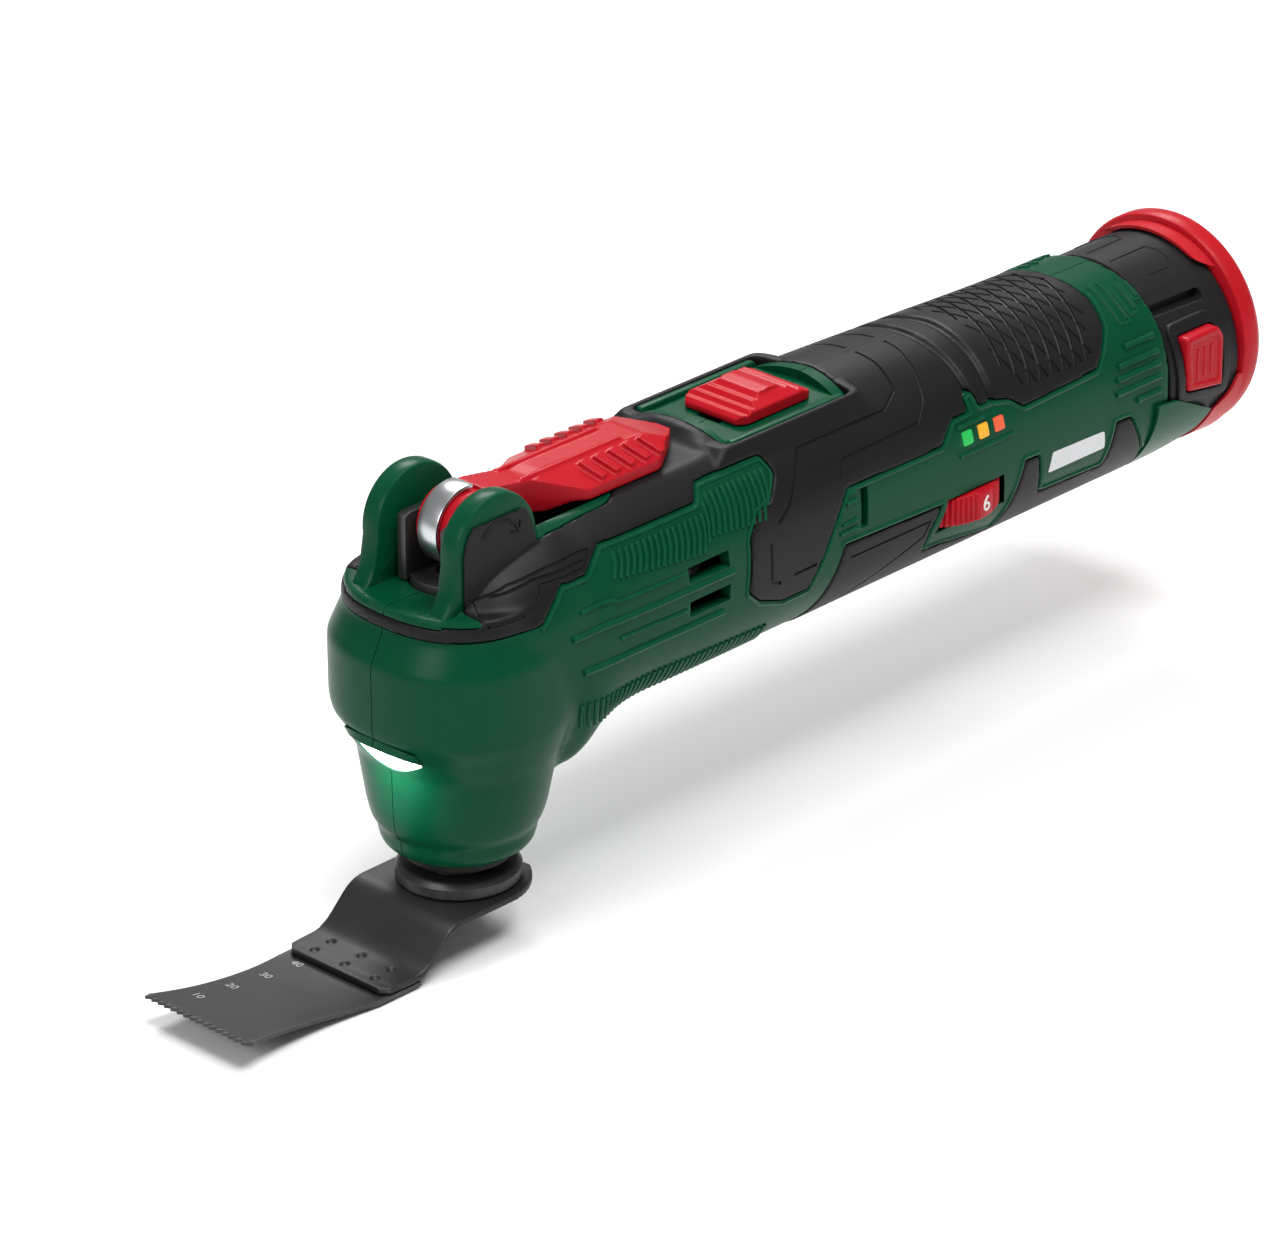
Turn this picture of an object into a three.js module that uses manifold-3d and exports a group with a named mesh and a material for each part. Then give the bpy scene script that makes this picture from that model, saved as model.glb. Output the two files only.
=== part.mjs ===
// Cordless oscillating multi tool with a quick-release clamp lever, a plunge saw blade
// and a stick battery. Millimetres, +Z up along the spindle, +X towards the battery.
// The origin is the centre of the clamp foot's flat underside, on the spindle axis.
import * as THREE from "three";
import { mergeVertices } from "three/addons/utils/BufferGeometryUtils.js";
import Module from "manifold-3d";

const wasm = await Module();
wasm.setup();

// ---- driving dimensions ------------------------------------------------------------
const GAP = 0.3;              // clearance between neighbouring pieces
const HALF = 0.15;            // half of the gap between the two housing halves
const WALL = 3.2;             // housing wall
const SKIN = 1.4;             // thickness of the soft overmould
const ROUNDNESS = 2.25;       // exponent of the handle's superellipse section
const AXIS_Z = 60;            // height of the motor shaft
const HANDLE_END = 211;       // rear edge of the housing
// handle stations: x, half width, top z, bottom z, height of the flat that cuts the top off
const HANDLE = [
  [-12.5, 21.5, 80, 50, 88], [-4, 25, 85, 48, 88], [4, 26.4, 88, 40, 88], [12, 26.9, 90, 34, 88],
  [18.5, 27, 90.8, 25, 88], [23, 27, 91, 30, 88], [29, 27, 91, 34, 88], [38, 27, 91, 35.6, 88],
  [64, 26.8, 90.9, 35.7, 88], [70, 26.7, 90.8, 35.7, 91], [110, 26.1, 90.1, 35.7, 91],
  [150, 25.7, 88.6, 35.7, 91], [196, 25.2, 86.8, 35.7, 91], [HANDLE_END, 25.3, 86.6, 35.7, 91],
];
// head stations: z, reach to the front, half width, exponent of the outline
const HEAD = [
  [13, 14.2, 14.2, 2], [14.6, 16.7, 16.9, 2], [16.6, 17.4, 17.8, 2], [19.4, 17.5, 17.9, 2],
  [20.6, 18.9, 19.2, 2], [24.8, 19.6, 20.6, 2], [37, 19.8, 23.8, 2.1], [39.4, 21.2, 24.6, 2.15],
  [43.4, 23, 25.7, 2.2], [47, 25.3, 26.6, 2.3], [50, 25.3, 26.9, 2.4], [64, 25.3, 26.9, 2.4],
    [71.2, 21.4, 24.4, 2.4], [76.5, 21, 23.6, 2.4],
];
const SHELF_Z = 76.5;         // flat top of the head between the ears
const EAR = { x: -1, z: 88.4, r: 12.4, inner: 9.2, outer: 14.6 };
const PIVOT = { x: 1.5, z: 89 };   // clamp lever's pin
const LEVER_OPEN = 140;       // degrees from closed to open
const FLANGE_R = 14.1;
const BLADE_W = 32;
const BATTERY = { x0: 163, x1: 238, z: 61.1, stem: 21.5, body: 25.3 };
const CAP = { x0: 236.6, x1: 243.6, z: 62.8, r: 26.9 };
const SWITCH = { x0: 72, x1: 112, half: 13, floor: 87.9 };
const DIAL = { x: 142, y: -11.5, z: 54.5, r: 16, t: 7 };

// ---- finishes ----------------------------------------------------------------------
const finish = (color, roughness, metalness) => () =>
  new THREE.MeshStandardMaterial({ color, roughness, metalness });
const GREEN = finish(0x064a2f, 0.42, 0);
const SOFT = finish(0x1d1d1f, 0.72, 0);
const BLACK = finish(0x232325, 0.5, 0);
const RED = finish(0xb5202b, 0.42, 0);
const STEEL = finish(0xb9bcbf, 0.3, 1);
const DARK_STEEL = finish(0x47484a, 0.45, 0.9);
const BLADE = finish(0x3a3b3c, 0.5, 0.8);
const ALLOY = finish(0xa9acb0, 0.55, 0.9);
const COPPER = finish(0xa8642c, 0.4, 0.9);
const BOARD = finish(0x1f6b3a, 0.5, 0);
const CLEAR = finish(0xe8f2f6, 0.1, 0);
const CELL = finish(0x2f5f9e, 0.4, 0);

// ---- small geometry kit ------------------------------------------------------------
function solid(geometry) {
  const g = geometry.index ? geometry.clone() : geometry;
  g.deleteAttribute("normal");
  g.deleteAttribute("uv");
  const m = mergeVertices(g, 1e-4);
  return new wasm.Manifold(new wasm.Mesh({
    numProp: 3,
    vertProperties: new Float32Array(m.attributes.position.array),
    triVerts: new Uint32Array(m.index.array),
  }));
}

function box(x0, x1, y0, y1, z0, z1) {
  const g = new THREE.BoxGeometry(x1 - x0, y1 - y0, z1 - z0);
  g.translate((x0 + x1) / 2, (y0 + y1) / 2, (z0 + z1) / 2);
  return solid(g);
}

// closed outline through the points, drawn in by `shrink` along every side
function outline(points, shrink = 0) {
  const p = points.map(([u, v]) => new THREE.Vector2(u, v));
  const turn = Math.sign(THREE.ShapeUtils.area(p));
  return new THREE.Shape(p.map((v, i) => {
    const back = v.clone().sub(p[(i + p.length - 1) % p.length]).normalize();
    const ahead = p[(i + 1) % p.length].clone().sub(v).normalize();
    const normal = new THREE.Vector2(-back.y - ahead.y, back.x + ahead.x).multiplyScalar(turn);
    return v.clone().addScaledVector(normal, shrink / (1 + back.dot(ahead)));
  }));
}

function extrude(shape, depth) {
  return new THREE.ExtrudeGeometry(shape, { depth, bevelEnabled: false, curveSegments: 10 });
}

// side outline in x and z, extruded across the tool from y0 to y1
function prismY(shape, y0, y1) {
  const g = extrude(shape, y1 - y0);
  g.rotateX(Math.PI / 2);
  g.translate(0, y1, 0);
  return solid(g);
}

// plan outline in x and y, extruded up from z0 to z1
function prismZ(shape, z0, z1) {
  const g = extrude(shape, z1 - z0);
  g.translate(0, 0, z0);
  return solid(g);
}

// profile of [radius, height] points turned about Z through x, y
function turnZ(profile, x = 0, y = 0, segments = 26) {
  const g = new THREE.LatheGeometry(profile.map(([r, h]) => new THREE.Vector2(r, h)), segments);
  g.rotateX(Math.PI / 2);
  g.translate(x, y, 0);
  return fixed(g);
}

// profile of [radius, x] points turned about the line y, z that runs along X
function turnX(profile, y, z, segments = 26) {
  const g = new THREE.LatheGeometry(profile.map(([r, h]) => new THREE.Vector2(r, h)), segments);
  g.rotateZ(-Math.PI / 2);
  g.translate(0, y, z);
  return fixed(g);
}

// profile of [radius, y] points turned about the line x, z that runs along Y
function turnY(profile, x, z, segments = 26) {
  const g = new THREE.LatheGeometry(profile.map(([r, h]) => new THREE.Vector2(r, h)), segments);
  g.translate(x, 0, z);
  return fixed(g);
}

// a lathe's faces point the way its profile runs, so a solid that came out inside out is turned round
function fixed(geometry) {
  const s = solid(geometry);
  if (s.volume() > 0) return s;
  const index = geometry.index.array;
  for (let i = 0; i < index.length; i += 3) {
    const swap = index[i];
    index[i] = index[i + 1];
    index[i + 1] = swap;
  }
  return solid(geometry);
}

const disc = (r, a, b) => [[0, a], [r, a], [r, b], [0, b]];
const ring = (r0, r1, a, b) => [[r0, a], [r1, a], [r1, b], [r0, b], [r0, a]];

const power = (v, e) => Math.sign(v) * Math.abs(v) ** e;

// value of column k at station t in a table whose first column rises
function at(table, t, k) {
  const last = table.length - 1;
  if (t <= table[0][0]) return table[0][k];
  if (t >= table[last][0]) return table[last][k];
  const i = table.findIndex((row) => row[0] > t) - 1;
  const f = (t - table[i][0]) / (table[i + 1][0] - table[i][0]);
  return table[i][k] + f * (table[i + 1][k] - table[i][k]);
}

// a cylinder whose rings are moved onto the stations of a table
function loft(stations, segments, place) {
  const g = new THREE.CylinderGeometry(1, 1, stations.length - 1, segments, stations.length - 1);
  const p = g.attributes.position;
  for (let i = 0; i < p.count; i++) {
    const station = stations[Math.round(p.getY(i) + (stations.length - 1) / 2)];
    p.setXYZ(i, ...place(station, p.getZ(i), p.getX(i)));
  }
  return fixed(g);
}

function handleSolid(inset, x0, x1, segments = 30) {
  const inner = HANDLE.map((s) => s[0]).filter((x) => x > x0 && x < x1);
  return loft([x0, ...inner, x1], segments, (x, c, s) => {
    const width = at(HANDLE, x, 1) - inset;
    const top = at(HANDLE, x, 2) - inset;
    const bottom = at(HANDLE, x, 3) + inset;
    const y = power(c, 2 / ROUNDNESS) * width;
    const z = (top + bottom) / 2 + power(s, 2 / ROUNDNESS) * (top - bottom) / 2;
    return [x, y, Math.min(z, at(HANDLE, x, 4) - inset)];
  });
}

function headSolid(inset, z0, z1, segments = 30) {
  const inner = HEAD.map((s) => s[0]).filter((z) => z > z0 && z < z1);
  return loft([z0, ...inner, z1], segments, (z, c, s) => {
    const e = 2 / at(HEAD, z, 3);
    const reach = at(HEAD, z, 1) - inset;
    const width = at(HEAD, z, 2) - inset;
    return [power(c, e) * reach, power(s, e) * width, z];
  });
}

const group = new THREE.Group();
group.name = "oscillating_multi_tool";

// slivers shorter than this are closed up after the last cut
const TIDY = 0.02;

function add(name, body, material) {
  const { vertProperties, triVerts } = body.asOriginal().simplify(TIDY).getMesh();
  const g = new THREE.BufferGeometry();
  g.setAttribute("position", new THREE.BufferAttribute(new Float32Array(vertProperties), 3));
  g.setIndex(new THREE.BufferAttribute(new Uint32Array(triVerts), 1));
  g.computeVertexNormals();
  const m = new THREE.Mesh(g, material());
  m.name = name;
  group.add(m);
}

// ---- housing halves and soft overmoulds ---------------------------------------------
// side outline of the upper soft overmould: band round the head, top of the handle, grip
const UPPER = [
  [-30, 71.4], [2, 72.2], [9.8, 78.3], [17.9, 77.8], [23.7, 82.4], [53.8, 82.3], [56.9, 85.4], [77.7, 85.2],
  [78.9, 81.7], [74.7, 77], [69.9, 76], [66, 71.3], [65.1, 58.5], [68.9, 55.2], [77.5, 52],
  [86.2, 51.9], [92.7, 64.2], [98.6, 72.4], [131.2, 71.9], [135.7, 76.2], [149.5, 76.6],
  [155.9, 75.3], [159.7, 72.4], [186.7, 72.8], [194, 79.6], [196.5, 84.5], [197.5, 96], [-30, 96],
];
// side outline of the lower soft overmould along the underside
const LOWER = [
  [88, 30], [97, 59.6], [130.4, 58.2], [127.4, 52], [127.4, 46.5], [134, 46], [155, 42], [156.5, 50],
  [159, 59.8], [164, 59.6], [166.5, 48.8], [190, 47.6], [191.7, 58.7], [197.1, 58.4], [204, 48],
  [206, 44], [206, 30],
];

function earSolid(side) {
  const shape = new THREE.Shape();
  shape.moveTo(EAR.x - EAR.r - 1.4, SHELF_Z - 2);
  shape.lineTo(EAR.x - EAR.r, SHELF_Z + 5);
  shape.absarc(EAR.x, EAR.z, EAR.r, Math.PI, 0, true);
  shape.lineTo(EAR.x + EAR.r + 2, SHELF_Z + 5);
  shape.lineTo(EAR.x + EAR.r + 2, SHELF_Z - 2);
  const y0 = side < 0 ? -EAR.outer : EAR.inner;
  return prismY(shape, y0, y0 + EAR.outer - EAR.inner);
}

const scoop = new THREE.Shape();
scoop.moveTo(-40, -12);
scoop.lineTo(30, -12);
scoop.absarc(30, -4, 8, -Math.PI / 2, 0, false);
scoop.absarc(30, 4, 8, 0, Math.PI / 2, false);
scoop.lineTo(-40, 12);

const forkSlot = box(-40, 14, -EAR.inner, EAR.inner, SHELF_Z, 120);
const fingerScoop = prismZ(scoop, 81.6, 120).intersect(box(11.5, 60, -20, 20, 60, 120));
const switchTray = box(SWITCH.x0, SWITCH.x1, -SWITCH.half, SWITCH.half, SWITCH.floor, 120);
const backing = box(11, 42, -15, 15, 78.4, 90).add(box(68, 116, -16, 16, 84.4, 89));

const outerBody = handleSolid(0, -12.5, HANDLE_END).add(headSolid(0, 13, SHELF_Z));
const cavity = handleSolid(WALL, 14.2, HANDLE_END + 2).add(headSolid(2.6, 15.2, 73.8)).subtract(backing)
  .add(turnZ(disc(12.8, 10, 18)));

// where the green shell shows through the upper overmould: ears, finger scoop, switch frame
function keepOut(margin) {
  const ears = EAR.outer + margin;
  const edge = SWITCH.half + 1.7 + margin;
  return box(-60, 13.5 + margin, -ears, ears, 74.8 - margin, 120)
    .add(box(-60, -12 + margin, -40, 40, 75.4 - margin, 120))
    .add(prismZ(scoop, 60, 120).scale([1, 1 + margin / 12, 1]).translate([margin, 0, 0])
      .intersect(box(11, 60, -20, 20, 60, 120)))
    .add(box(SWITCH.x0 - 1.7 - margin, SWITCH.x1 + 2.7 + margin, -edge, edge, 60, 120));
}
const core = (inset) => handleSolid(inset, -11, HANDLE_END).add(headSolid(inset, 14, 75));
const skin = outerBody.subtract(core(SKIN));
// the pocket that a skin lies in: a little deeper than the skin, and open to the outside
const recess = handleSolid(-1, -13.5, HANDLE_END - 1).add(headSolid(-1, 12, SHELF_Z + 1))
  .subtract(core(SKIN + GAP));

// two air vents, one wiring slot in each side wall
const vents = [[46, 59, 59.4, 63.2], [46, 59, 67.4, 71.2], [102.4, 105, 62, 71]]
  .map(([x0, x1, z0, z1]) => box(x0, x1, -40, 40, z0, z1));
const LAMP = { z0: 38.6, z1: 43 };
const SCREWS = [[-4, 57], [33, 46], [84, 44.5], [128, 66], [150, 52]];
const SCREW_R = 3.2;
const WINDOWS_X = [139.8, 145.3, 150.8];

function housing(side) {
  const half = side < 0 ? box(-60, 260, -60, -HALF, -10, 120) : box(-60, 260, HALF, 60, -10, 120);
  let body = outerBody.add(earSolid(-1)).add(earSolid(1));
  const upperCut = recess.intersect(prismY(outline(UPPER), -60, 60)).subtract(keepOut(0));
  const lowerCut = recess.intersect(prismY(outline(LOWER), -60, 60));
  body = body.subtract(cavity).subtract(upperCut).subtract(lowerCut)
    .subtract(forkSlot).subtract(fingerScoop).subtract(switchTray)
    .subtract(turnZ(disc(10, 60, 90)))
    .subtract(box(80, 99.5, -3.5, 3.5, 80, 92));
  for (const v of vents) body = body.subtract(v);
  body = body.subtract(box(-40, -14, -9.5, 9.5, LAMP.z0, LAMP.z1));
  if (side < 0) {
    const reach = DIAL.t / 2 + 0.6;
    body = body.subtract(turnZ(disc(DIAL.r + 1.2, DIAL.z - reach, DIAL.z + reach), DIAL.x, DIAL.y));
    for (const x of WINDOWS_X) body = body.subtract(box(x - 2, x + 2, -40, -15, 69, 73.6));
  } else {
    for (const [x, z] of SCREWS) {
      body = body.add(turnY(disc(5.4, 18, 24), x, z, 20).intersect(outerBody))
        .subtract(turnY(disc(SCREW_R + GAP, 20.1, 40), x, z, 20)).subtract(turnY(disc(1.9, 0, 40), x, z, 12));
    }
  }
  return body.intersect(half);
}

const largest = (body) => body.decompose().sort((a, b) => b.volume() - a.volume())[0];
for (const [side, word] of [[-1, "left"], [1, "right"]]) {
  const half = side < 0 ? box(-60, 260, -60, -HALF, -10, 120) : box(-60, 260, HALF, 60, -10, 120);
  add(`housing_${word}`, largest(housing(side)), GREEN);
  const trim = 0.35;
  const upper = skin.intersect(prismY(outline(UPPER, GAP), -60, 60)).subtract(keepOut(GAP))
    .intersect(half).subtract(box(-60, 260, -trim, trim, 0, 120));
  add(`grip_upper_${word}`, largest(upper), SOFT);
  const lower = skin.intersect(prismY(outline(LOWER, GAP), -60, 60))
    .intersect(half).subtract(box(-60, 260, -trim, trim, 0, 120));
  add(`grip_lower_${word}`, largest(lower), SOFT);
}

for (const [i, [x, z]] of SCREWS.entries()) {
  const head = turnY([[0, 20.4], [SCREW_R, 20.4], [SCREW_R, 21.8], [SCREW_R - 0.5, 22.2], [0, 22.2]], x, z, 20)
    .subtract(turnY(disc(1.3, 21.2, 30), x, z, 6));
  add(`housing_screw_${i + 1}`, head, DARK_STEEL);
}

// ---- lamp, charge display, label ----------------------------------------------------
const lens = headSolid(0.6, 38.9, 42.7).subtract(headSolid(2.4, 38.5, 43))
  .intersect(box(-40, -14.3, -9.2, 9.2, 30, 60));
add("lamp_lens", largest(lens), CLEAR);
add("lamp_board", box(-17.9, -16.7, -6, 6, 39.4, 45.2), BOARD);
const shades = [finish(0x2fb457, 0.3, 0), finish(0xe6a52a, 0.3, 0), finish(0xd9532f, 0.3, 0)];
for (const [i, x] of WINDOWS_X.entries()) {
  add(`charge_window_${i + 1}`, box(x - 1.6, x + 1.6, -24.9, -21.5, 69.4, 73.2), shades[i]);
}
add("charge_board", box(136, 154, -20.6, -19.4, 64, 71.5), BOARD);

// ---- gear case, bearings, spindle ---------------------------------------------------
const MOTOR_Z = AXIS_Z;
const gearTube = turnZ(ring(12.8, 14.6, 17, 48)).add(turnZ(ring(9.8, 12.6, 66.4, 73.4)))
  .add(box(-13, 36, -14.2, 14.2, 46, 50)).add(box(-13, 36, -14.2, 14.2, 68.6, 71.6))
  .add(box(-14.8, -12.6, -14.2, 14.2, 46, 71.6)).add(box(33, 36, -14.2, 14.2, 46, 71.6))
  .subtract(turnZ(disc(12.8, 10, 50.5))).subtract(turnZ(disc(9.8, 60, 80)))
  .subtract(turnX(disc(8.3, 30, 40), 0, MOTOR_Z));
add("gear_case", largest(gearTube), ALLOY);
add("lower_bearing", turnZ(ring(7.3, 12.5, 17.2, 25.2)), STEEL);
add("upper_bearing", turnZ(ring(6.3, 9.5, 66, 71.5)), STEEL);
add("front_motor_bearing", turnX(ring(2.8, 8, 33.2, 37.8), 0, MOTOR_Z, 24), STEEL);
add("spindle_seal", turnZ(ring(9.4, 12.4, 10.4, 15.2)), SOFT);
add("spindle", turnZ([[3.6, 7.4], [7, 7.4], [7, 64], [6, 64], [6, 72.4], [5.4, 72.4], [5.4, 46],
  [3.6, 46], [3.6, 7.4]]), STEEL);
add("tool_flange", turnZ([[4, 4.6], [FLANGE_R, 4.6], [FLANGE_R, 7.7], [FLANGE_R - 1, 8.7], [9, 8.7],
  [9, 14.6], [7.3, 14.6], [7.3, 7.1], [4, 7.1], [4, 4.6]], 0, 0, 36), DARK_STEEL);
const rocker = turnZ(disc(11, 54, 66)).add(box(4, 28, -11, 11, 54, 66))
  .subtract(box(11.6, 40, -8, 8, 50, 70)).subtract(turnZ(disc(7.3, 50, 70)))
  .subtract(box(-20, -6, -0.8, 0.8, 50, 70)).subtract(box(24.5, 40, -20, 20, 63.5, 80));
add("rocker_arm", rocker, ALLOY);
add("rocker_clamp_screw", turnY(disc(1.6, -12.5, -11.3), -8, 60, 16).add(turnY(disc(2.6, -14.2, -12.3), -8, 60, 16)),
  DARK_STEEL);

// ---- draw bar, spring and clamp foot ------------------------------------------------
add("draw_bar", turnZ([[0, 2.6], [3.1, 2.6], [3.1, 68.6], [5.1, 68.6], [5.1, 70.4], [3.1, 70.4],
  [3.1, 78.9], [2.5, 79.4], [0, 79.4]], 0, 0, 28), STEEL);
const foot = turnZ(disc(9.4, 0, 2.3)).subtract(box(-12, 12, 5.6, 12, -1, 1.1)).subtract(box(-12, 12, -12, -5.6, -1, 1.1));
add("clamp_foot", foot, DARK_STEEL);

class Helix extends THREE.Curve {
  constructor(radius, z0, z1, turns) {
    super();
    Object.assign(this, { radius, z0, z1, turns });
  }

  getPoint(t, target = new THREE.Vector3()) {
    const a = 2 * Math.PI * this.turns * t;
    return target.set(this.radius * Math.cos(a), this.radius * Math.sin(a), this.z0 + t * (this.z1 - this.z0));
  }
}
const wire = new THREE.Shape().absarc(0, 0, 0.45, 0, 2 * Math.PI, false);
const coil = new THREE.ExtrudeGeometry(wire, {
  extrudePath: new Helix(4.25, 47.2, 67.5, 7), steps: 63, curveSegments: 2, bevelEnabled: false,
});
add("draw_spring", fixed(coil), STEEL);

// ---- clamp lever --------------------------------------------------------------------
const cheek = new THREE.Shape();
cheek.moveTo(-9, 76.9);
cheek.lineTo(-9, 91.8);
cheek.lineTo(-7, 92.6);
cheek.lineTo(7, 92.6);
cheek.lineTo(9, 90.6);
cheek.lineTo(9, 76.9);
const bracket = turnZ(disc(9.6, 74.4, 78.4)).add(prismY(cheek, 5.3, 7.9).add(prismY(cheek, -7.9, -5.3))
  .intersect(turnZ(disc(12, 70, 100))))
  .subtract(turnZ(disc(3.7, 70, 80))).subtract(turnY(disc(2.3, -20, 20), PIVOT.x, PIVOT.z, 24));
add("lever_bracket", bracket, DARK_STEEL);
add("lever_pin", turnY(disc(2, -8.8, 8.8), PIVOT.x, PIVOT.z, 24), STEEL);

const arm = outline([
  [1, 97.2], [7, 96.4], [20, 93.6], [24, 94.6], [54, 94.4], [66.2, 90.8], [66.4, 89.6], [56, 88.6],
  [27, 88.8], [22, 86.8], [10, 86.6], [4, 84],
]);
const paddle = outline([
  [6, -4.6], [17, -4.6], [26, -12.6], [51, -12.6], [61, -6.4], [66.4, -1.6], [66.4, 1.6], [61, 6.4],
  [51, 12.6], [26, 12.6], [17, 4.6], [6, 4.6],
]);
let lever = prismY(arm, -13, 13).intersect(prismZ(paddle, 70, 110))
  .add(turnY(disc(8, -4.8, 4.8), PIVOT.x, PIVOT.z, 36));
const flank = box(-20, 90, 0, 20, 0, 20).rotate([-24, 0, 0]).translate([0, 4.4, 94.6]);
lever = lever.subtract(flank).subtract(flank.mirror([0, 1, 0]));
for (let i = 0; i < 5; i++) {
  const rib = box(-0.9, 0.9, 1.4, 7.8, -1.2, 0.6).rotate([0, 0, -16]).rotate([-24, 0, 0])
    .translate([29 + 4.6 * i, 4.4, 94.6]);
  lever = lever.add(rib).add(rib.mirror([0, 1, 0]));
}
lever = lever.subtract(turnY(disc(2.3, -20, 20), PIVOT.x, PIVOT.z, 24));
add("clamp_lever", largest(lever), RED);
const bandShape = new THREE.Shape();
bandShape.absarc(PIVOT.x, PIVOT.z, 9.3, Math.PI * 0.42, Math.PI * 1.28, false);
bandShape.absarc(PIVOT.x, PIVOT.z, 8.3, Math.PI * 1.28, Math.PI * 0.42, true);
add("lever_band", prismY(bandShape, -2.9, 2.9), STEEL);

// ---- blade ---------------------------------------------------------------------------
const PLATE = 1.7;
const adapterSide = outline([
  [14, 4.3], [-16.6, 4.3], [-26.6, -4.1], [-38.3, -4.1], [-38.3, -4.1 - PLATE], [-27.3, -4.1 - PLATE],
  [-17.3, 4.3 - PLATE], [14, 4.3 - PLATE],
]);
const adapterPlan = new THREE.Shape();
adapterPlan.moveTo(-36.3, -15.6);
adapterPlan.lineTo(-24, -16.1);
adapterPlan.lineTo(2, -16.1);
adapterPlan.absarc(0, 0, 16.2, -1.45, 1.45, false);
adapterPlan.lineTo(-24, 16.1);
adapterPlan.lineTo(-36.3, 15.6);
adapterPlan.lineTo(-38.3, 13.6);
adapterPlan.lineTo(-38.3, -13.6);
const mouth = turnZ(disc(5.7, -20, 20)).add(box(0, 30, -3.6, 3.6, -20, 20));
add("blade_adapter", prismY(adapterSide, -17, 17).intersect(prismZ(adapterPlan, -30, 30)).subtract(mouth), BLADE);

const BLADE_T = 0.9;
const bladePlan = new THREE.Shape();
bladePlan.moveTo(-27.5, -15.8);
bladePlan.lineTo(-40, -15.8);
bladePlan.quadraticCurveTo(-62, -12.4, -79.6, -BLADE_W / 2);
const TEETH = 16;
for (let i = 0; i < TEETH; i++) {
  const y = -BLADE_W / 2 + (BLADE_W * i) / TEETH;
  bladePlan.lineTo(-78, y + BLADE_W / TEETH / 2);
  bladePlan.lineTo(-79.6, y + BLADE_W / TEETH);
}
bladePlan.quadraticCurveTo(-62, 12.4, -40, 15.8);
bladePlan.lineTo(-27.5, 15.8);
// the blade lies flat under the adapter and bows up towards its teeth
const bow = [[-27, -6.1], [-38, -6.1], [-46, -5.6], [-56, -4.4], [-66, -2.9], [-80, -0.4]];
const bladeSide = outline([...bow, ...bow.toReversed().map(([x, z]) => [x, z - BLADE_T])]);
add("saw_blade", prismZ(bladePlan, -30, 30).intersect(prismY(bladeSide, -20, 20)), BLADE);

// ---- motor ---------------------------------------------------------------------------
const CRANK = 0.55;
const shaftOf = (r, a, b) => turnX(disc(r, a, b), 0, MOTOR_Z, 24);
add("motor_can", turnX([[3, 48.6], [17.9, 48.6], [17.9, 103], [16.4, 103], [16.4, 50.2], [3, 50.2],
  [3, 48.6]], 0, MOTOR_Z, 24), STEEL);
add("motor_end_cap", turnX([[3, 104.6], [3, 107], [12, 107], [17.6, 105.4], [17.6, 103.4], [15, 103.4],
  [15, 104.6], [3, 104.6]], 0, MOTOR_Z, 24), BLACK);
add("motor_shaft", shaftOf(2.4, 14.8, 112), STEEL);
const sleeve = (r0, r1, a, b) => turnX(ring(r0, r1, a, b), 0, MOTOR_Z, 24);
add("armature", sleeve(2.7, 14.6, 54, 88), COPPER);
add("commutator", sleeve(2.7, 6.5, 90, 100), COPPER);
const eccentric = turnX(disc(4.4, 15, 24.2), 0, MOTOR_Z + CRANK, 22).subtract(shaftOf(2.7, 0, 40));
add("eccentric", eccentric, STEEL);
add("eccentric_bearing", turnX(ring(4.7, 7, 16, 23), 0, MOTOR_Z + CRANK, 22), STEEL);
let fan = sleeve(2.7, 5, 39, 46.5).add(sleeve(4.5, 16, 45.3, 46.5));
for (let i = 0; i < 7; i++) {
  fan = fan.add(box(39.6, 46, -0.7, 0.7, 4.4, 15.6).rotate([i * 51.43, 0, 0]).translate([0, 0, MOTOR_Z]));
}
add("cooling_fan", fan, BLACK);

// ---- switch, speed dial, electronics --------------------------------------------------
let slider = prismZ(outline([[81, -7.6], [83, -9.4], [103, -9.4], [105, -8], [105, 8], [103, 9.4],
  [83, 9.4], [81, 7.6]]), 88.3, 96)
  .intersect(prismY(outline([[80, 88], [80, 90.2], [84, 92.6], [91, 93.2], [99, 92.4], [105.5, 90.2], [105.5, 88]]),
    -10, 10));
for (let i = 0; i < 6; i++) {
  const x = 84.5 + 3.4 * i;
  slider = slider.subtract(box(x - 0.5, x + 0.5, -12, 12, 92, 96).translate([0, 0, i === 0 || i === 5 ? -0.9 : 0]));
}
slider = slider.add(box(88.4, 98, -2.8, 2.8, 80.4, 88.5)).add(box(88.4, 116, -2.8, 2.8, 80.4, 82));
add("switch_slider", slider, RED);
add("switch_module", box(117.5, 131, -6, 5, 66, 84), BLACK);
const dial = turnZ(disc(DIAL.r, DIAL.z - DIAL.t / 2, DIAL.z + DIAL.t / 2), DIAL.x, DIAL.y, 40)
  .subtract(turnZ(disc(2.3, 0, 100), DIAL.x, DIAL.y, 20));
add("speed_dial", dial, RED);
add("speed_control", turnZ(disc(2, 48, 66), DIAL.x, DIAL.y, 20).add(box(136, 150, -17, -5, 64.5, 68)), BLACK);
add("control_board", box(112, 158, 5.5, 7.1, 46, 76), BOARD);
add("contact_block", box(160, 162.6, -13, 13, 50, 72), BLACK);

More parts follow.
